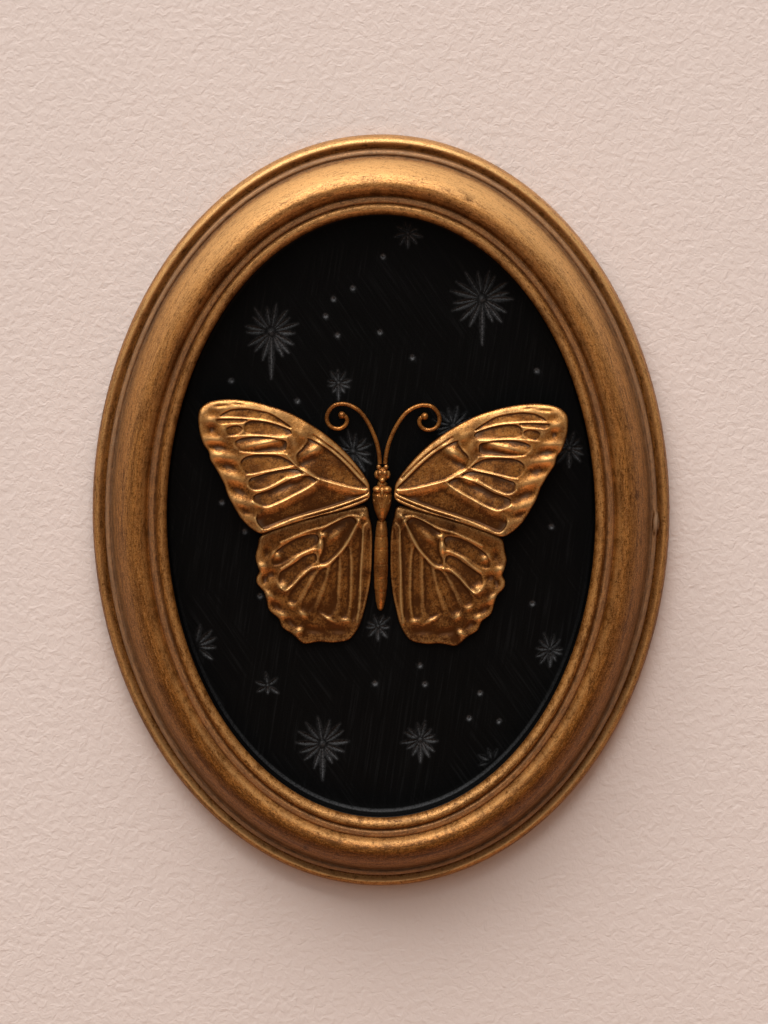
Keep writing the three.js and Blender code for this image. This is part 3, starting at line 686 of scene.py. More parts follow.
# Wings are drawn for the right side (outwards, up). Walls of a pane between the veins: how far it is sunk,
# the widths of its upper and lower walls, and the share of the sinking left at its lower edge
forewing = {
    "back": 2.5, "thickness": 2.0, "rise": 3.0, "swing": 1.1, "stretch": (1.017, 1), "drop": 0,
    "middle": (26, 8), "around": 600, "inwards": 110,
    "edgeRound": (0.7, 2.4), "edgeDrop": (0.7, 1.2), "slope": -0.035, "pivot": 8,
    "relief": 1.5, "paneGrow": 0.35, "hollowReach": (0.4, 1.6),
    # darker towards the bottom: dark tone added by height
    "dark_tone": [(-9, 0.56), (-3, 0.42), (4, 0.25), (10, 0.15), (18, 0.05), (26, 0)],
    "outline": [
        (3.5, 3.3), (4.6, 6.1), (9.2, 11.8), (14.5, 16.5), (19.8, 20), (25.1, 22.7), (30.4, 24.4),
        (35.7, 25.5), (40.4, 25.8), (44.8, 25.2), (47.4, 23.8), (48.4, 21.8), (48.2, 17.9), (47, 13.9),
        (45.6, 11.9), (45, 9.6), (43.7, 7.6), (42.6, 5.8), (41.3, 3.4), (40.3, 0.6), (39.3, -1.3),
        (37.9, -3.7), (36.4, -5.9), (33.8, -8.3), (31.3, -9.4), (28.2, -8.4), (21.6, -6), (16.3, -4.3),
        (11.1, -2.9), (7.1, -1.5), (3.7, 0.4),
    ],
    "usualWalls": (0.6, 0.4, 0.5, 0.3),
    "walls": {
        "thinFinger": (0.4, 0.3, 0.35, 0.5), "smallPane": (0.4, 0.35, 0.4, 0.6),
        "rearPane": (0.55, 2.4, 0.6, 1.5), "upperFinger": (0.5, 0.4, 0.4, 0.4),
        "sixthFinger": (0.6, 0.6, 0.5, 0.3), "innerPane": (0.65, 0.5, 0.6, 0.4),
    },
    "panes": {
        "upperFinger": [
            (24.6, 18.9), (27.3, 20.8), (30, 22.3), (33.2, 23), (36.6, 23.4), (39.8, 23.1), (41.9, 22.1),
            (42.5, 21.4), (40.5, 21.4), (36.6, 21.2), (33.1, 20.9), (29.9, 20.5), (27.3, 19.8),
        ],
        "thinFinger": [
            (43.7, 20.3), (41.6, 20.5), (38.4, 20.6), (36, 20.5), (37.1, 19.9), (40, 19.7), (42.6, 19.5),
        ],
        "middleFinger": [
            (24.5, 17.8), (26.5, 18.8), (29.4, 19.7), (32.1, 20.2), (34.7, 20.2), (36, 19.6), (36.6, 18.4),
            (36.2, 17.4), (34.1, 16.9), (30.9, 16.8), (27.2, 16.8), (24.9, 16.9),
        ],
        "smallPane": [
            (41.1, 17.8), (40.2, 18.6), (38.4, 18.9), (37.2, 18.4), (37.3, 17.5), (38.6, 16.7),
            (40.2, 16.5),
        ],
        "squareFinger": [
            (25.8, 15.1), (27.5, 15.6), (30.4, 16), (33.8, 16), (36.5, 15.6), (38.3, 14.9), (38.6, 13.9),
            (37.5, 12.7), (35.6, 12), (32.5, 12.1), (29.3, 12.4), (26.6, 12.5), (25.7, 13.2),
        ],
        "fourthFinger": [
            (23.7, 9.1), (25.3, 10.3), (27.2, 11.1), (30.3, 11.3), (33.5, 11.2), (35.6, 10.7), (36.9, 9.7),
            (37.2, 8.7), (36.4, 7.5), (35, 6.4), (32.9, 6.7), (30.8, 7.3), (28.2, 7.9), (25.3, 8.5),
        ],
        "fifthFinger": [
            (34.5, 4.8), (31.8, 5.9), (28.7, 6.9), (25.5, 7.6), (22.9, 7.7), (21, 6.9), (21.8, 6.1),
            (24.4, 5.8), (26.5, 4.8), (29.2, 3.4), (31.8, 2.3), (33.4, 2.2), (34.7, 3.1),
        ],
        "sixthFinger": [
            (17.5, 4.9), (18.9, 5.9), (20.7, 6.2), (22.6, 5.7), (24.4, 5), (26.3, 3.9), (28.9, 2.4),
            (31.5, 1.4), (33.1, 0.7), (33.6, -0.2), (32.8, -1.2), (30.7, -1.9), (29.1, -1.6), (26.5, -0.4),
            (23.8, 1.1), (21.2, 2.6), (18.8, 4),
        ],
        "rearPane": [
            (4, 2.3), (7.2, 2.4), (10.1, 3.1), (13.3, 3.9), (16.5, 4.7), (18.8, 2.9), (22.2, 0.9),
            (25.7, -1.1), (28.5, -2.4), (30.7, -3.1), (32.2, -4.2), (32.6, -5.7), (31.9, -7.2),
            (30.6, -8.2), (28.5, -7.4), (25.3, -6), (21.6, -4.5), (16.9, -2.9), (12.2, -1.4), (7.9, 0.3),
        ],
        "innerPane": [
            (4.3, 3.4), (7, 6.2), (9.9, 9.2), (13.1, 12), (16.1, 14.2), (18.8, 15.6), (19.9, 16),
            (20.1, 14.9), (21.1, 13.4), (22.3, 12.2), (22.8, 11), (22.1, 9.4), (20.2, 8.1), (18.1, 6.9),
            (16.2, 5.8), (13, 4.9), (9.6, 4), (6.4, 3.2),
        ],
    },
    # swellings: x, y, half length, half width, turn in degrees, lift
    "swells": [
        (31, 14.7, 5.5, 1.1, -12, 0.55), (18.6, 12.9, 3.4, 1.5, -28, 0.6),
        (22.6, 5.6, 2.2, 0.9, -25, 0.45), (45.2, 20.3, 1.7, 1.2, 0, 0.25), (44.2, 15.2, 3, 1, 0, 0.28),
        (41.8, 17.6, 1.3, 1.6, 0, 0.15), (43, 11.1, 1.6, 1.2, 10, 0.28), (40.5, 10.6, 2.8, 1.3, 8, 0.2),
        (38.6, 5.3, 3, 1.4, 20, 0.26), (36.3, -1.6, 2.8, 1.4, 30, 0.28), (34.2, -5.2, 2.4, 1.2, 40, 0.2),
        (33.3, -1.6, 1.4, 0.8, 25, 0.25), (21.7, 17.3, 2.6, 1.2, 38, 0.2), (23.5, 14.6, 1.2, 1.5, 0, 0.25),
        (44.9, 17.8, 0.8, 0.8, 0, -0.3), (44.8, 22, 1.2, 1.2, 0, -0.15), (43.2, 13, 2.2, 1, 5, -0.35),
        (40.4, 8, 2.8, 1.3, 15, -0.35), (37.6, 1.8, 2.8, 1.3, 25, -0.35), (42.6, 24.1, 1.6, 0.4, -6, -0.2),
        (38.2, 24.6, 1.3, 0.3, 4, -0.12), (35.6, -3.5, 1.8, 1, 35, -0.25), (20, 10, 4.5, 1, -34, -0.25),
        (30, 12.9, 4, 0.7, -6, -0.25), (25.5, 3, 3.5, 0.8, -28, -0.25),
    ],
    # raised veins and sunken folds: line, half width, lift
    "lines": [
        ([(5.4, 6.1), (8.6, 9.4), (11.8, 12.3), (15, 14.7), (18.5, 17)], 0.24, -0.4),
        ([(4.4, 2.8), (9.8, 3.6), (16.6, 5.4), (19.6, 6.9), (22.8, 8.9), (25.2, 11.4)], 0.24, 0.3),
        ([(25.2, 11.7), (27, 11.8), (29.8, 11.9), (33, 11.8), (37.5, 12)], 0.24, 0.22),
        ([(22.8, 8.8), (25.4, 8.1), (28.4, 7.45), (31, 6.9), (33.5, 6.3), (35.4, 5.9)], 0.24, 0.22),
        ([(24.4, 18.5), (27, 19.4), (29.6, 20.2), (33, 20.7), (36, 20.9), (39.5, 21), (42.9, 20.9)],
         0.24, 0.2),
        ([(25.4, 16.1), (30.4, 16.4), (35, 16.4), (38.5, 16.1), (41, 15.9)], 0.24, 0.2),
        ([(25, 5.7), (27.1, 4.3), (29.8, 2.8), (32.4, 1.9), (34, 2.1), (35.1, 3)], 0.24, 0.26),
        ([(16.6, 5.4), (19.1, 3.2), (23, 0.9), (27, -1.3), (30.1, -2.5), (32.4, -1.8), (33.7, -1)],
         0.25, 0.3),
        ([(4.2, 1.6), (8.3, -0.1), (13.6, -2.1), (19, -3.8), (24.3, -5.5), (30.9, -8.2)], 0.24, 0.32),
        ([(30.9, -8.2), (32.3, -6.8), (32.9, -5.3)], 0.24, 0.2),
        ([(4, 0.9), (8.4, -0.9), (13.7, -2.9), (20.3, -5)], 0.24, -0.5),
    ],
}
hindwing = {
    "back": 0.3, "thickness": 1.7, "rise": 2.0, "swing": 0, "stretch": (1.009, 0.985), "drop": 0.5,
    "middle": (16, -20), "around": 560, "inwards": 100,
    "edgeRound": (0.7, 1.4), "edgeDrop": (0.6, 0.8), "slope": 0.028, "pivot": -6,
    "relief": 1.4, "paneGrow": 0.28, "hollowReach": (0.4, 1.6),
    # darker towards the bottom: dark tone added by height
    "dark_tone": [(-39, 0.85), (-33, 0.66), (-26, 0.4), (-16, 0.28), (-8, 0.38), (-3, 0.52)],
    "outline": [
        (4.4, -1.2), (9.7, -2), (16.3, -3.6), (24.2, -6), (31.1, -9), (32.4, -12.6), (32.9, -15.6),
        (32.2, -18.2), (31.9, -19.4), (32.6, -21.1), (32.3, -22.9), (30.6, -24.9), (29.9, -27.2),
        (29.1, -29.9), (26.7, -32.1), (25.6, -34.5), (22.9, -36.4), (21, -38.2), (19.5, -38.9),
        (15.8, -38.3), (12.3, -38.5), (8.7, -37.9), (6.8, -36.2), (5.1, -33), (4.1, -29.2), (3.1, -24.3),
        (2.5, -18), (2.5, -8.5), (3.3, -4),
    ],
    "usualWalls": (0.36, 0.6, 0.9, 0.45),
    "walls": {
        "firstFinger": (0.5, 0.5, 0.7, 0.4), "secondFinger": (0.5, 0.5, 0.7, 0.4),
        "innerPane": (0.5, 0.8, 0.7, 0.7),
    },
    "panes": {
        "firstFinger": [
            (17.3, -9.1), (20, -9.4), (22.6, -10.4), (25.2, -11.9), (27.6, -13.8), (28.7, -15.7),
            (28.6, -17.3), (27.3, -17.6), (25.2, -16.7), (22.8, -15), (20.4, -13.7), (18.3, -12.7),
            (16.8, -11.7), (16.5, -10.1),
        ],
        "secondFinger": [
            (17.8, -14.2), (20.2, -15.1), (22.5, -16.8), (24.6, -18.3), (26.4, -19.6), (26.8, -21.5),
            (26.3, -23.4), (25.1, -23.9), (23.7, -22.9), (22.2, -20.9), (20.4, -19), (18.3, -17.5),
            (17, -16.6), (17, -15),
        ],
        "thirdFinger": [
            (17.2, -18.7), (18.8, -19.3), (20.6, -20.9), (22.2, -22.8), (23.5, -24.5), (24.5, -26.3),
            (23.9, -27.9), (22.6, -28.3), (21.6, -27.1), (20.3, -24.6), (18.7, -21.7), (17.4, -19.5),
        ],
        "fourthFinger": [
            (14.3, -18.1), (15.9, -18.7), (17.2, -20.3), (18.7, -23.3), (20.1, -26.2), (21, -28.9),
            (20.5, -30.6), (19.4, -30.9), (18.1, -29.7), (17.1, -27.8), (16, -25.1), (15, -22.4),
            (14.5, -20),
        ],
        "fifthFinger": [
            (11.2, -15.1), (12.5, -16.5), (13.5, -17.8), (13.9, -20.5), (14.9, -24.3), (16, -27.8),
            (16.8, -30.2), (15.9, -31.5), (14.1, -31.8), (12.5, -30.8), (11.6, -28.2), (11.4, -24.2),
            (11.2, -19.7),
        ],
        "sixthFinger": [
            (8.8, -12.2), (10.1, -13.8), (10.5, -16.2), (10.5, -20.5), (10.7, -24.8), (10.7, -28.5),
            (10.9, -30.9), (9.9, -32), (8.8, -31.4), (8.3, -28.5), (8.1, -24.2), (8.1, -19.4),
            (8.2, -15.1),
        ],
        "seventhFinger": [
            (6, -7), (7, -9.2), (7.9, -11.6), (7.7, -15.1), (7.5, -19.4), (7.6, -24.2), (7.8, -28.5),
            (8.1, -31.7), (7.2, -32.7), (6.3, -31.1), (6, -26.8), (5.7, -21.5), (5.5, -16.1), (5.2, -11.3),
            (5.2, -8.4),
        ],
        "innerPane": [
            (6.5, -5.2), (8.1, -4.1), (9.7, -4.4), (12.1, -5.7), (14.2, -7), (15.8, -8.3), (15.3, -10.9),
            (15.5, -13.6), (16.4, -15.7), (15.9, -17.1), (14.3, -16.8), (12.7, -15.4), (10.9, -13.3),
            (9.4, -10.8), (8.1, -8.4), (7, -6.5),
        ],
        "bodyBand": [
            (3.3, -7), (4.1, -9.1), (4.5, -12.1), (4.7, -16.1), (4.8, -20.9), (5, -26.3), (5, -30),
            (4.4, -28.1), (3.6, -24.9), (3, -20.9), (2.8, -16.1), (2.8, -12.1), (3, -9.1),
        ],
    },
    "swells": [
        (31.2, -17.8, 1.4, 1, 0, 0.4), (29.3, -25.6, 1.5, 1, 30, 0.4), (25.5, -31.1, 1.3, 0.8, 30, 0.3),
        (21.2, -35.3, 1.3, 0.8, -30, 0.45), (25.6, -23.3, 1.5, 1.2, 40, 0.55),
        (27.2, -14.9, 1.2, 1, 30, 0.45), (20.2, -30.6, 1.2, 1, 40, 0.45), (23.2, -28.2, 1, 0.8, 30, 0.3),
        (13.8, -31.7, 2, 0.5, 30, 0.35), (9, -32.3, 1, 0.6, 0, 0.25), (15.3, -9.1, 0.9, 0.8, 0, 0.6),
        (16, -12.1, 0.7, 1.6, 0, 0.45), (4.9, -3.8, 1, 0.9, 0, 0.3), (6.3, -5, 1.2, 0.6, 60, 0.3),
        (12, -9, 3, 1, -40, 0.3), (30.4, -21.4, 1, 1.2, 20, -0.4), (28.8, -20, 1.2, 1, 0, -0.35),
        (27.4, -28.6, 1.6, 1, 30, -0.35), (23.8, -32.8, 1.6, 0.8, 40, -0.3),
        (17.5, -35, 2.4, 1, 10, -0.25), (11, -34.8, 2.6, 1.2, 0, -0.3), (30, -14, 1, 1.6, 10, -0.25),
    ],
    "lines": [
        ([(5.6, -4.1), (8.4, -3.8), (11.6, -5.1), (15, -6.9), (18.9, -8), (22.6, -9.6), (26.3, -11.4)],
         0.26, 0.3),
        ([(5.2, -3.6), (6.5, -6), (8.3, -10), (9.9, -12.7), (12.2, -15.4), (14.3, -17.3), (16.4, -17.8)],
         0.36, 0.4),
        ([(3.8, -5.9), (4.8, -7.2), (5, -13.4), (5.3, -20.1), (5.4, -26.8), (6.1, -33)], 0.26, 0.3),
        ([(16.6, -13), (18.3, -13.3), (21.5, -14.9), (24.1, -17.1), (26.2, -18.5)], 0.26, 0.3),
        ([(16.4, -17.8), (18.3, -18.2), (20.6, -20.1), (23, -22.8), (24.8, -24.4), (26.1, -23.6)],
         0.26, 0.35),
    ],
}


# Distance of each place in from the wing's rim, 0 outside, and how much the nearest rim faces up
def rimOf(wing, places):
    outline = smoothLine(wing["outline"], 260)
    ring = np.vstack([outline, outline[:1]])
    edge, along = lineDistance(places, ring)
    upward = np.clip(ringNormals(ring)[:, 1], 0, 1)[np.minimum(along * 260, 259).astype(int)]
    return np.where(insideLoop(places, ring), edge, 0), upward


# Height of a wing's front over its flat face
def wingHeight(wing, places):
    height = wing["slope"] * (places[:, 1] - wing["pivot"])
    for name, loop in wing["panes"].items():
        sink, upperWall, lowerWall, rest = wing["walls"].get(name, wing["usualWalls"])
        points = smoothLine(loop, 56)
        near = nearTo(places, points)
        height[near] -= sink * paneDepth(places[near], points, upperWall, lowerWall, rest, wing["paneGrow"])
    for knots, half, lift in wing["lines"]:
        points = smoothLine(knots, 40, closed=False)
        near = nearTo(places, points)
        distance, share = lineDistance(places[near], points)
        taper = 0.4 + 0.6 * np.sin(np.pi * np.clip(share, 0.03, 0.97)) ** 0.5
        height[near] += lift * np.exp(-(distance / half) ** 2) * taper
    for x, y, length, width, turn, lift in wing["swells"]:
        turn = math.radians(turn)
        forward = (places[:, 0] - x) * math.cos(turn) + (places[:, 1] - y) * math.sin(turn)
        aside = (places[:, 1] - y) * math.cos(turn) - (places[:, 0] - x) * math.sin(turn)
        height += wing["relief"] * lift * np.exp(-(forward / length) ** 2 - (aside / width) ** 2)
    flat = np.column_stack([places, np.zeros(len(places))])
    height += 0.03 * waviness(flat, 0.9, 4) + 0.12 * waviness(flat, 0.3, 6)
    # the edge rounds over, more broadly where it faces up
    edge, upward = rimOf(wing, places)
    rounding, drop = (low + (high - low) * upward for low, high in (wing["edgeRound"], wing["edgeDrop"]))
    share = np.clip(1 - edge / rounding, 0, 1)
    return height - drop * (1 - np.sqrt(1 - 0.98 * share * share))


# How far each place lies below its surroundings, for a narrow and a wide neighbourhood
def wingHollows(wing, places):
    step = 0.2
    low = places.min(0) - 4
    across, up = (np.arange(start, stop, step) for start, stop in zip(low, places.max(0) + 4))
    spots = np.stack(np.meshgrid(across, up), axis=-1).reshape(-1, 2)
    field = wingHeight(wing, spots).reshape(len(up), len(across))
    waves = np.add.outer(np.fft.fftfreq(len(up), step) ** 2, np.fft.fftfreq(len(across), step) ** 2)
    column, row = ((places - low) / step).T
    left, under = column.astype(int), row.astype(int)
    column, row = column - left, row - under
    sunk = []
    for reach in wing["hollowReach"]:
        soft = np.fft.ifft2(np.fft.fft2(field) * np.exp(-2 * (math.pi * reach) ** 2 * waves)).real - field
        bottom = soft[under, left] * (1 - column) + soft[under, left + 1] * column
        top = soft[under + 1, left] * (1 - column) + soft[under + 1, left + 1] * column
        sunk.append(bottom * (1 - row) + top * row)
    return sunk


# Glaze and grey wax gather in the hollows, the wing is darker towards the bottom, and the ridges are rubbed
# bare, the rubbing partly a painted highlight
def wingFinish(wing, places):
    narrow, wide = wingHollows(wing, places)
    dark_tone = np.interp(places[:, 1], *zip(*wing["dark_tone"]))
    glazing_and_shade = np.clip(5 * narrow, 0, 0.8) + np.clip(1.2 * wide, -0.25, 0.4) + dark_tone
    # ridges are rubbed bare, and of the rim only the part that faces up, a painted highlight on the upper
    # rims; broad swells are rubbed too, partly a painted highlight
    edge, upward = rimOf(wing, places)
    spared = 1 - (1 - upward) * (1 - easeBetween(0.5, 1.4, edge))
    rub_and_highlight = np.clip(-3.5 * narrow, 0, 0.6) * (0.15 + 0.85 * spared) + np.clip(-1.2 * wide, 0, 0.5)
    wax = np.clip(1.6 * wide - 0.4, 0, 0.4)
    return {"glazing_and_shade": np.clip(glazing_and_shade, 0, 1), "rub_and_highlight": np.clip(rub_and_highlight, 0, 1), "wax": wax}


def makeWing(wing):
    bm = bmesh.new()
    bmesh.ops.create_grid(bm, x_segments=wing["around"], y_segments=wing["inwards"], size=0.5)
    square = placesOf(bm) + (0.5, 0.5, 0)
    outline = smoothLine(wing["outline"], 900)
    ring = np.vstack([outline, outline[:1]])
    stations = np.linspace(0, 1, len(ring))
    rim = np.column_stack([np.interp(square[:, 0], stations, column) for column in ring.T])
    middle = np.array(wing["middle"])
    share = (1 - (1 - square[:, 1]) ** 1.15)[:, None]
    flat = middle + share * (rim - middle)
    setPlaces(bm, np.column_stack([flat, np.zeros(len(flat))]))
    bmesh.ops.remove_doubles(bm, verts=bm.verts, dist=1e-4)
    places = placesOf(bm)
    places[:, 2] = wing["back"] + wing["thickness"] + wingHeight(wing, places[:, :2])
    setPlaces(bm, places)
    for name, values in wingFinish(wing, places[:, :2]).items():
        setLayer(bm, name, values)
    # side wall down to a flat back
    for drop in (0.45, 0.0):
        for vert in extrudeEdges(bm, boundaryOf(bm)):
            vert.co.z = wing["back"] + drop
    bmesh.ops.holes_fill(bm, edges=boundaryOf(bm), sides=0)
    return bm


def placeWing(bm, wing, side):
    across, up = wing["stretch"]
    bmesh.ops.scale(bm, vec=(side * across, up, 1), verts=bm.verts)
    closeMesh(bm)
    turn = Matrix.Rotation(math.radians(-side * wing["rise"]), 4, "Y")
    swing = Matrix.Rotation(math.radians(side * wing["swing"]), 4, "Z")
    down = Matrix.Translation((0, -wing["drop"], 0))
    moveAll(bm, butterflyPlace @ down @ turn @ swing)


for wing, kind in ((forewing, "forewing"), (hindwing, "hindwing")):
    drawn = makeWing(wing)
    for side, sideName in ((-1, "left"), (1, "right")):
        wingMesh = drawn.copy()
        placeWing(wingMesh, wing, side)
        node = sideName + "_" + kind
        finishPiece(wingMesh, node + "_relief", giltButterfly, node)
    drawn.free()


# Body: overlapping lumps fused into one casting. Each lump: x, y, height above the floor, half sizes
body = {
    "lumps": [
        (0, 6.8, 2.6, 1.6, 2.0, 1.8), (-0.95, 8.9, 3, 0.62, 0.75, 0.8), (0.95, 8.9, 3, 0.62, 0.75, 0.8),
        (-0.62, 7.5, 3.9, 0.68, 0.7, 0.75), (0.62, 7.5, 3.9, 0.68, 0.7, 0.75),
        (-1.45, 6.9, 2.9, 0.7, 1.1, 1.1), (1.45, 6.9, 2.9, 0.7, 1.1, 1.1), (0, 5.5, 3.7, 0.8, 0.75, 0.95),
        (0, 4.2, 2.4, 1.3, 1.2, 1.3), (-1.25, 3.1, 4.3, 1.25, 0.95, 1.35),
        (1.25, 3.1, 4.3, 1.25, 0.95, 1.35), (0, 2.4, 4.6, 0.55, 1.5, 1.1),
    ],
    # sections from the top down: y, half width, half depth, height of the middle
    "thorax": [
        (3.6, 0.6, 0.9, 3), (2.6, 2.2, 2, 3), (1.4, 2.6, 2.45, 3), (-0.6, 2.45, 2.55, 2.9),
        (-2.6, 1.95, 2.35, 2.8), (-4.4, 1.2, 1.9, 2.7), (-5.7, 0.5, 1.1, 2.6),
    ],
    "abdomen": [
        (-5, 0.5, 0.6, 2.3), (-5.7, 1.2, 1.5, 2.3), (-7.6, 1.5, 2, 2.3), (-12, 1.8, 2.1, 2.2),
        (-18, 1.88, 2.05, 2.1), (-23.4, 1.7, 1.8, 1.9), (-27, 1.25, 1.4, 1.6), (-29.1, 0.75, 0.9, 1.2),
        (-29.7, 0.25, 0.3, 1),
    ],
    "grooves": {"places": (-9.6, -12.9, -16.8, -20.8, -24.2), "half": 0.25, "depth": 0.045},
    # raised lines: start, end, radius
    "ridges": [
        ((-2.1, 0.2, 4.4), (-0.35, -4.3, 4.3), 0.24), ((2.1, 0.2, 4.4), (0.35, -4.3, 4.3), 0.24),
        ((-1.3, 1.5, 5.1), (-0.25, -1.6, 5.35), 0.16), ((1.3, 1.5, 5.1), (0.25, -1.6, 5.35), 0.16),
    ],
    "voxel": 0.12, "floorGap": 0.3,
}


# A ball drawn out along y so that it follows a list of sections
def makeTapered(bm, sections, grooves=None):
    ys, widths, depths, heights = (np.array(column) for column in zip(*sections))
    for vert in bmesh.ops.create_uvsphere(bm, u_segments=48, v_segments=140, radius=1)["verts"]:
        along = math.acos(max(-1, min(1, vert.co.z))) / math.pi
        y = ys[0] + (ys[-1] - ys[0]) * along
        wide, deep, middle = (np.interp(-y, -ys, column) for column in (widths, depths, heights))
        size = 1 if 0.001 < along < 0.999 else 0
        if grooves:
            cuts = (math.exp(-((y - place) / grooves["half"]) ** 2) for place in grooves["places"])
            size -= grooves["depth"] * sum(cuts)
        reach = math.hypot(vert.co.x, vert.co.y) or 1
        vert.co = (size * wide * vert.co.x / reach, y, middle + size * deep * vert.co.y / reach)


def makeBody():
    bm = bmesh.new()
    for x, y, z, halfX, halfY, halfZ in body["lumps"]:
        size = Matrix.Translation((x, y, z)) @ Matrix.Diagonal((halfX, halfY, halfZ, 1))
        bmesh.ops.create_uvsphere(bm, u_segments=32, v_segments=20, radius=1, matrix=size)
    makeTapered(bm, body["thorax"])
    makeTapered(bm, body["abdomen"], body["grooves"])
    for start, end, radius in body["ridges"]:
        for share in np.linspace(0, 1, 24):
            place = Matrix.Translation(Vector(start).lerp(Vector(end), share))
            bmesh.ops.create_uvsphere(bm, u_segments=12, v_segments=8, radius=radius, matrix=place)
    everything = bm.verts[:] + bm.edges[:] + bm.faces[:]
    cut = bmesh.ops.bisect_plane(bm, geom=everything, plane_co=(0, 0, body["floorGap"]), plane_no=(0, 0, -1),
                                 clear_outer=True)
    bmesh.ops.holes_fill(bm, edges=onlyOf(bmesh.types.BMEdge, cut["geom_cut"]), sides=0)
    return fuseVoxels(bm, body["voxel"])


# Overlapping shells become one skin
def fuseVoxels(bm, voxel):
    source = objectFrom(bm, "voxelSource")
    remesh = source.modifiers.new("skin", "REMESH")
    remesh.mode = "VOXEL"
    remesh.voxel_size = voxel
    bakeModifiers(source)
    fused = bmesh.new()
    fused.from_mesh(source.data)
    bpy.data.objects.remove(source)
    return fused


# Hollows collect glaze and bumps are rubbed bright, the rubbing partly a painted highlight on them: compares
# each place with its smoothed neighbourhood
def dressCasting(bm, rounds, strength):
    places = placesOf(bm)
    sharp = [vert.co.copy() for vert in bm.verts]
    bm.normal_update()
    normals = np.array([vert.normal[:] for vert in bm.verts])
    for _ in range(rounds):
        soften(bm)
    sunk = np.einsum("ij,ij->i", placesOf(bm) - places, normals) * strength
    for vert, place in zip(bm.verts, sharp):
        vert.co = place
    setLayer(bm, "glazing_and_shade", np.clip(sunk, 0, 1))
    setLayer(bm, "rub_and_highlight", np.clip(-sunk, 0, 1))
    setLayer(bm, "wax", np.zeros(len(places)))


bodyMesh = makeBody()
soften(bodyMesh)
# strong rubbing: bright gold on the body's bumps, partly a painted highlight
dressCasting(bodyMesh, 6, 11)
closeMesh(bodyMesh)
moveAll(bodyMesh, butterflyPlace)
finishPiece(bodyMesh, "body_relief", giltButterfly, "body")


# Antennae: wires that leave the head, lean out and curl inwards to a ball
antenna = {
    "path": [
        (0.7, 9.7), (0.9, 12), (1.5, 14.9), (2.6, 17.9), (4.1, 20.8), (5.9, 23.2), (7.8, 24.6),
        (9.6, 25.3), (11.2, 25.4), (12.8, 25), (14.1, 23.8), (14.8, 22.2), (14.7, 20.6), (13.9, 19.4),
        (12.6, 18.8), (11.1, 18.9), (9.9, 19.8), (9.5, 21), (9.9, 22), (10.9, 22.4),
    ],
    "baseHeight": 3, "coilHeight": 1.9, "settled": 0.6,
    "baseRadius": 0.56, "tipRadius": 0.54, "ballRadius": 0.98, "sides": 20, "stations": 220, "voxel": 0.1,
}


def makeAntenna(side):
    bm = bmesh.new()
    count = len(antenna["path"])
    knots = []
    for i, (x, y) in enumerate(antenna["path"]):
        down = min(1, i / (count - 1) / antenna["settled"])
        knots.append((side * x, y, antenna["baseHeight"] * (1 - down) + antenna["coilHeight"] * down))
    line = [Vector(point) for point in smoothLine(knots, antenna["stations"], closed=False)]
    loop = bmesh.ops.create_circle(bm, segments=antenna["sides"], radius=1, cap_ends=True)["verts"]
    base = [vert.co.copy() for vert in loop]
    for i, point in enumerate(line):
        ahead = (line[min(i + 1, len(line) - 1)] - line[max(i - 1, 0)]).normalized()
        aside = ahead.cross((0, 0, 1)).normalized()
        radius = antenna["baseRadius"] + (antenna["tipRadius"] - antenna["baseRadius"]) * i / len(line)
        if i:
            edges = list({edge for vert in loop for edge in vert.link_edges if edge.other_vert(vert) in loop})
            loop = extrudeEdges(bm, edges)
        for vert, around in zip(loop, base):
            vert.co = point + radius * (around.x * aside + around.y * aside.cross(ahead))
    bmesh.ops.holes_fill(bm, edges=boundaryOf(bm), sides=0)
    bmesh.ops.create_uvsphere(bm, u_segments=28, v_segments=18, radius=antenna["ballRadius"],
                              matrix=Matrix.Translation(line[-1]))
    bmesh.ops.recalc_face_normals(bm, faces=bm.faces)
    return fuseVoxels(bm, antenna["voxel"])


for side, sideName in ((-1, "left"), (1, "right")):
    wire = makeAntenna(side)
    soften(wire)
    dressCasting(wire, 4, 4)
    closeMesh(wire)
    moveAll(wire, butterflyPlace)
    finishPiece(wire, sideName + "_antenna_wire", giltButterfly, sideName + "_antenna")


# Steel hanger strip keeps its own solid
hangerLook = {"bright": (0.48, 0.47, 0.45), "dull": (0.26, 0.255, 0.25), "rust": (0.16, 0.075, 0.035)}


def makeSteel():
    material, tree, shader = newMaterial("steelHanger")
    place = objectPlace(tree)
    rolled = noiseNode(tree, stretchNode(tree, place, (0.08, 1, 1)), 2200.0, 3.0, 0.6)
    blots = rangeNode(tree, noiseNode(tree, place, 420.0, 4.0, 0.65), 0.58, 0.72)
    metal = mixColour(tree, rolled, (*hangerLook["dull"], 1), (*hangerLook["bright"], 1))
    feedAll(tree, shader, {
        "Base Color": mixColour(tree, blots, metal, (*hangerLook["rust"], 1)),
        "Roughness": rangeNode(tree, rolled, 0.3, 0.7, 0.28, 0.5),
        "Metallic": mathNode(tree, "SUBTRACT", 1.0, times(tree, blots, 0.6))})
    addBump(tree, shader, rolled, 0.2, 0.05 * mm)
    return material


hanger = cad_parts["hanger_strip"]
hanger.data.materials.clear()
hanger.data.materials.append(makeSteel())
print("hanger strip finished")


# Pale wall behind the frame, seen only from its front
wall = {
    "halfSize": 1.5, "behind": 0.4, "colour": (0.7, 0.595, 0.545), "roughness": 0.85, "shine": 0.2,
    "stippleScale": 520.0, "bumpStrength": 0.42, "bumpDepth": 0.7,
}


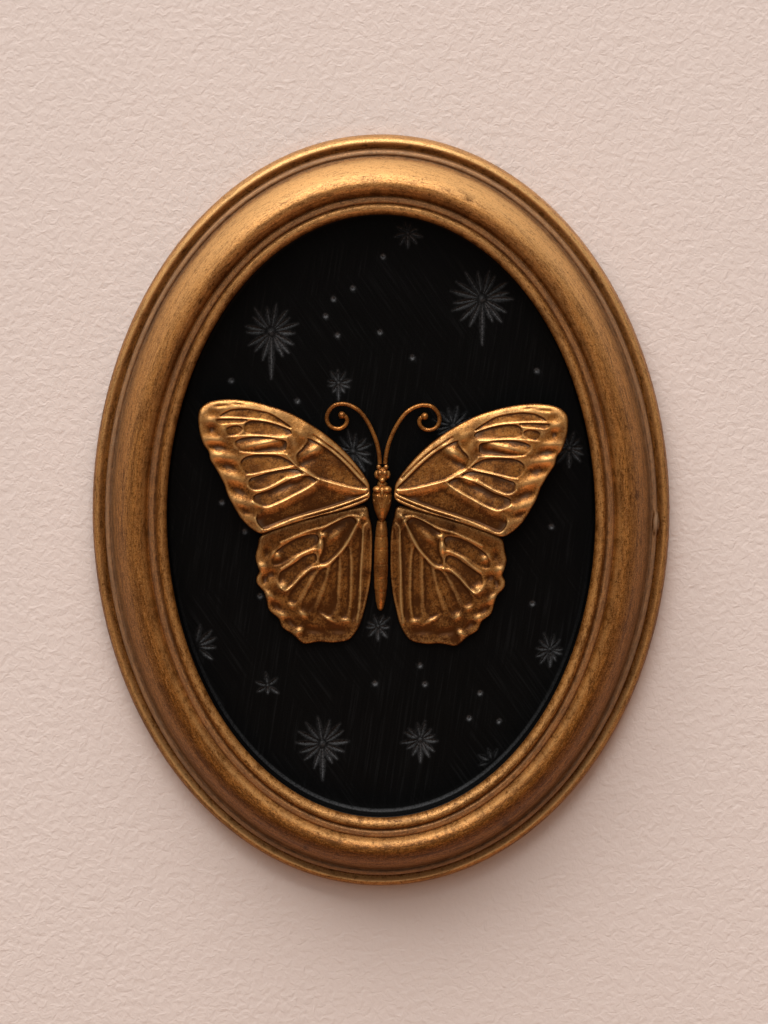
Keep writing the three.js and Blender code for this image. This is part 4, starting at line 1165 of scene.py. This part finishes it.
def makeWall():
    material, tree, shader = newMaterial("palePlaster")
    place = objectPlace(tree)
    stipple = noiseNode(tree, place, wall["stippleScale"], 3.0, 0.55, 0.6)
    cloud = noiseNode(tree, place, 30.0, 2.0)
    pale = tuple(c * 0.97 for c in wall["colour"])
    feedAll(tree, shader, {"Base Color": mixColour(tree, cloud, (*pale, 1), (*wall["colour"], 1)),
                           "Roughness": wall["roughness"], "Specular IOR Level": wall["shine"]})
    addBump(tree, shader, stipple, wall["bumpStrength"], wall["bumpDepth"] * mm)
    clear = addNode(tree, "ShaderNodeBsdfTransparent")
    sides = addNode(tree, "ShaderNodeMixShader")
    # light from behind reaches the back of the frame through it
    shadowRay = addNode(tree, "ShaderNodeLightPath").outputs["Is Shadow Ray"]
    behind = addNode(tree, "ShaderNodeNewGeometry").outputs["Backfacing"]
    feed(tree, sides.inputs[0], mathNode(tree, "MAXIMUM", behind, shadowRay))
    tree.links.new(shader.outputs[0], sides.inputs[1])
    tree.links.new(clear.outputs[0], sides.inputs[2])
    tree.links.new(sides.outputs[0], tree.nodes["Material Output"].inputs["Surface"])
    bm = bmesh.new()
    bmesh.ops.create_grid(bm, x_segments=2, y_segments=2, size=wall["halfSize"] / mm)
    bmesh.ops.translate(bm, vec=(0, 0, -wall["behind"]), verts=bm.verts)
    plane = objectFrom(bm, "wall", standUp)
    plane.data.materials.append(material)


makeWall()
print("wall made")


# Camera and soft lights
view = {"target": (0.00077, 0, -0.00035), "distance": 2.4, "elevation": 8.0, "lens": 318.9, "sensor": 36.0}
lights = {
    "softKey": {"place": (-0.8, -1.9, 4.5), "size": (5.8, 4.6), "power": 525.0, "colour": (1, 0.99, 0.97)},
    "frontFill": {"place": (-0.6, -3.2, 1.6), "size": (3, 2), "power": 26.0, "colour": (1, 0.98, 0.96)},
    "lowBounce": {"place": (0.3, -1.4, -1.7), "size": (2.4, 1.6), "power": 12.0, "colour": (1, 0.45, 0.18)},
    "backFill": {"place": (0.8, 1.6, 0.9), "size": (1.5, 1.5), "power": 22.0, "colour": (1, 1, 1)},
}
room = {"colour": (0.9, 0.86, 0.84), "strength": 0.14}


def aimed(item, place, target):
    item.location = place
    item.rotation_euler = (Vector(target) - Vector(place)).to_track_quat("-Z", "Y").to_euler()
    bpy.context.scene.collection.objects.link(item)


camera = bpy.data.objects.new("camera", bpy.data.cameras.new("camera"))
camera.data.lens = view["lens"]
camera.data.sensor_width = view["sensor"]
lift = math.radians(view["elevation"])
aim = Vector(view["target"])
aimed(camera, aim + view["distance"] * Vector((0, -math.cos(lift), math.sin(lift))), aim)
bpy.context.scene.camera = camera
for name, light in lights.items():
    lamp = bpy.data.lights.new(name, "AREA")
    lamp.shape = "RECTANGLE"
    lamp.size, lamp.size_y = light["size"]
    lamp.energy = light["power"]
    lamp.color = light["colour"]
    aimed(bpy.data.objects.new(name, lamp), light["place"], (0, 0, 0))
world = bpy.data.worlds.new("room")
world.use_nodes = True
feedAll(world.node_tree, world.node_tree.nodes["Background"],
        {"Color": (*room["colour"], 1), "Strength": room["strength"]})
bpy.context.scene.world = world
bpy.context.scene.view_settings.view_transform = "Standard"
print("camera and lights set")
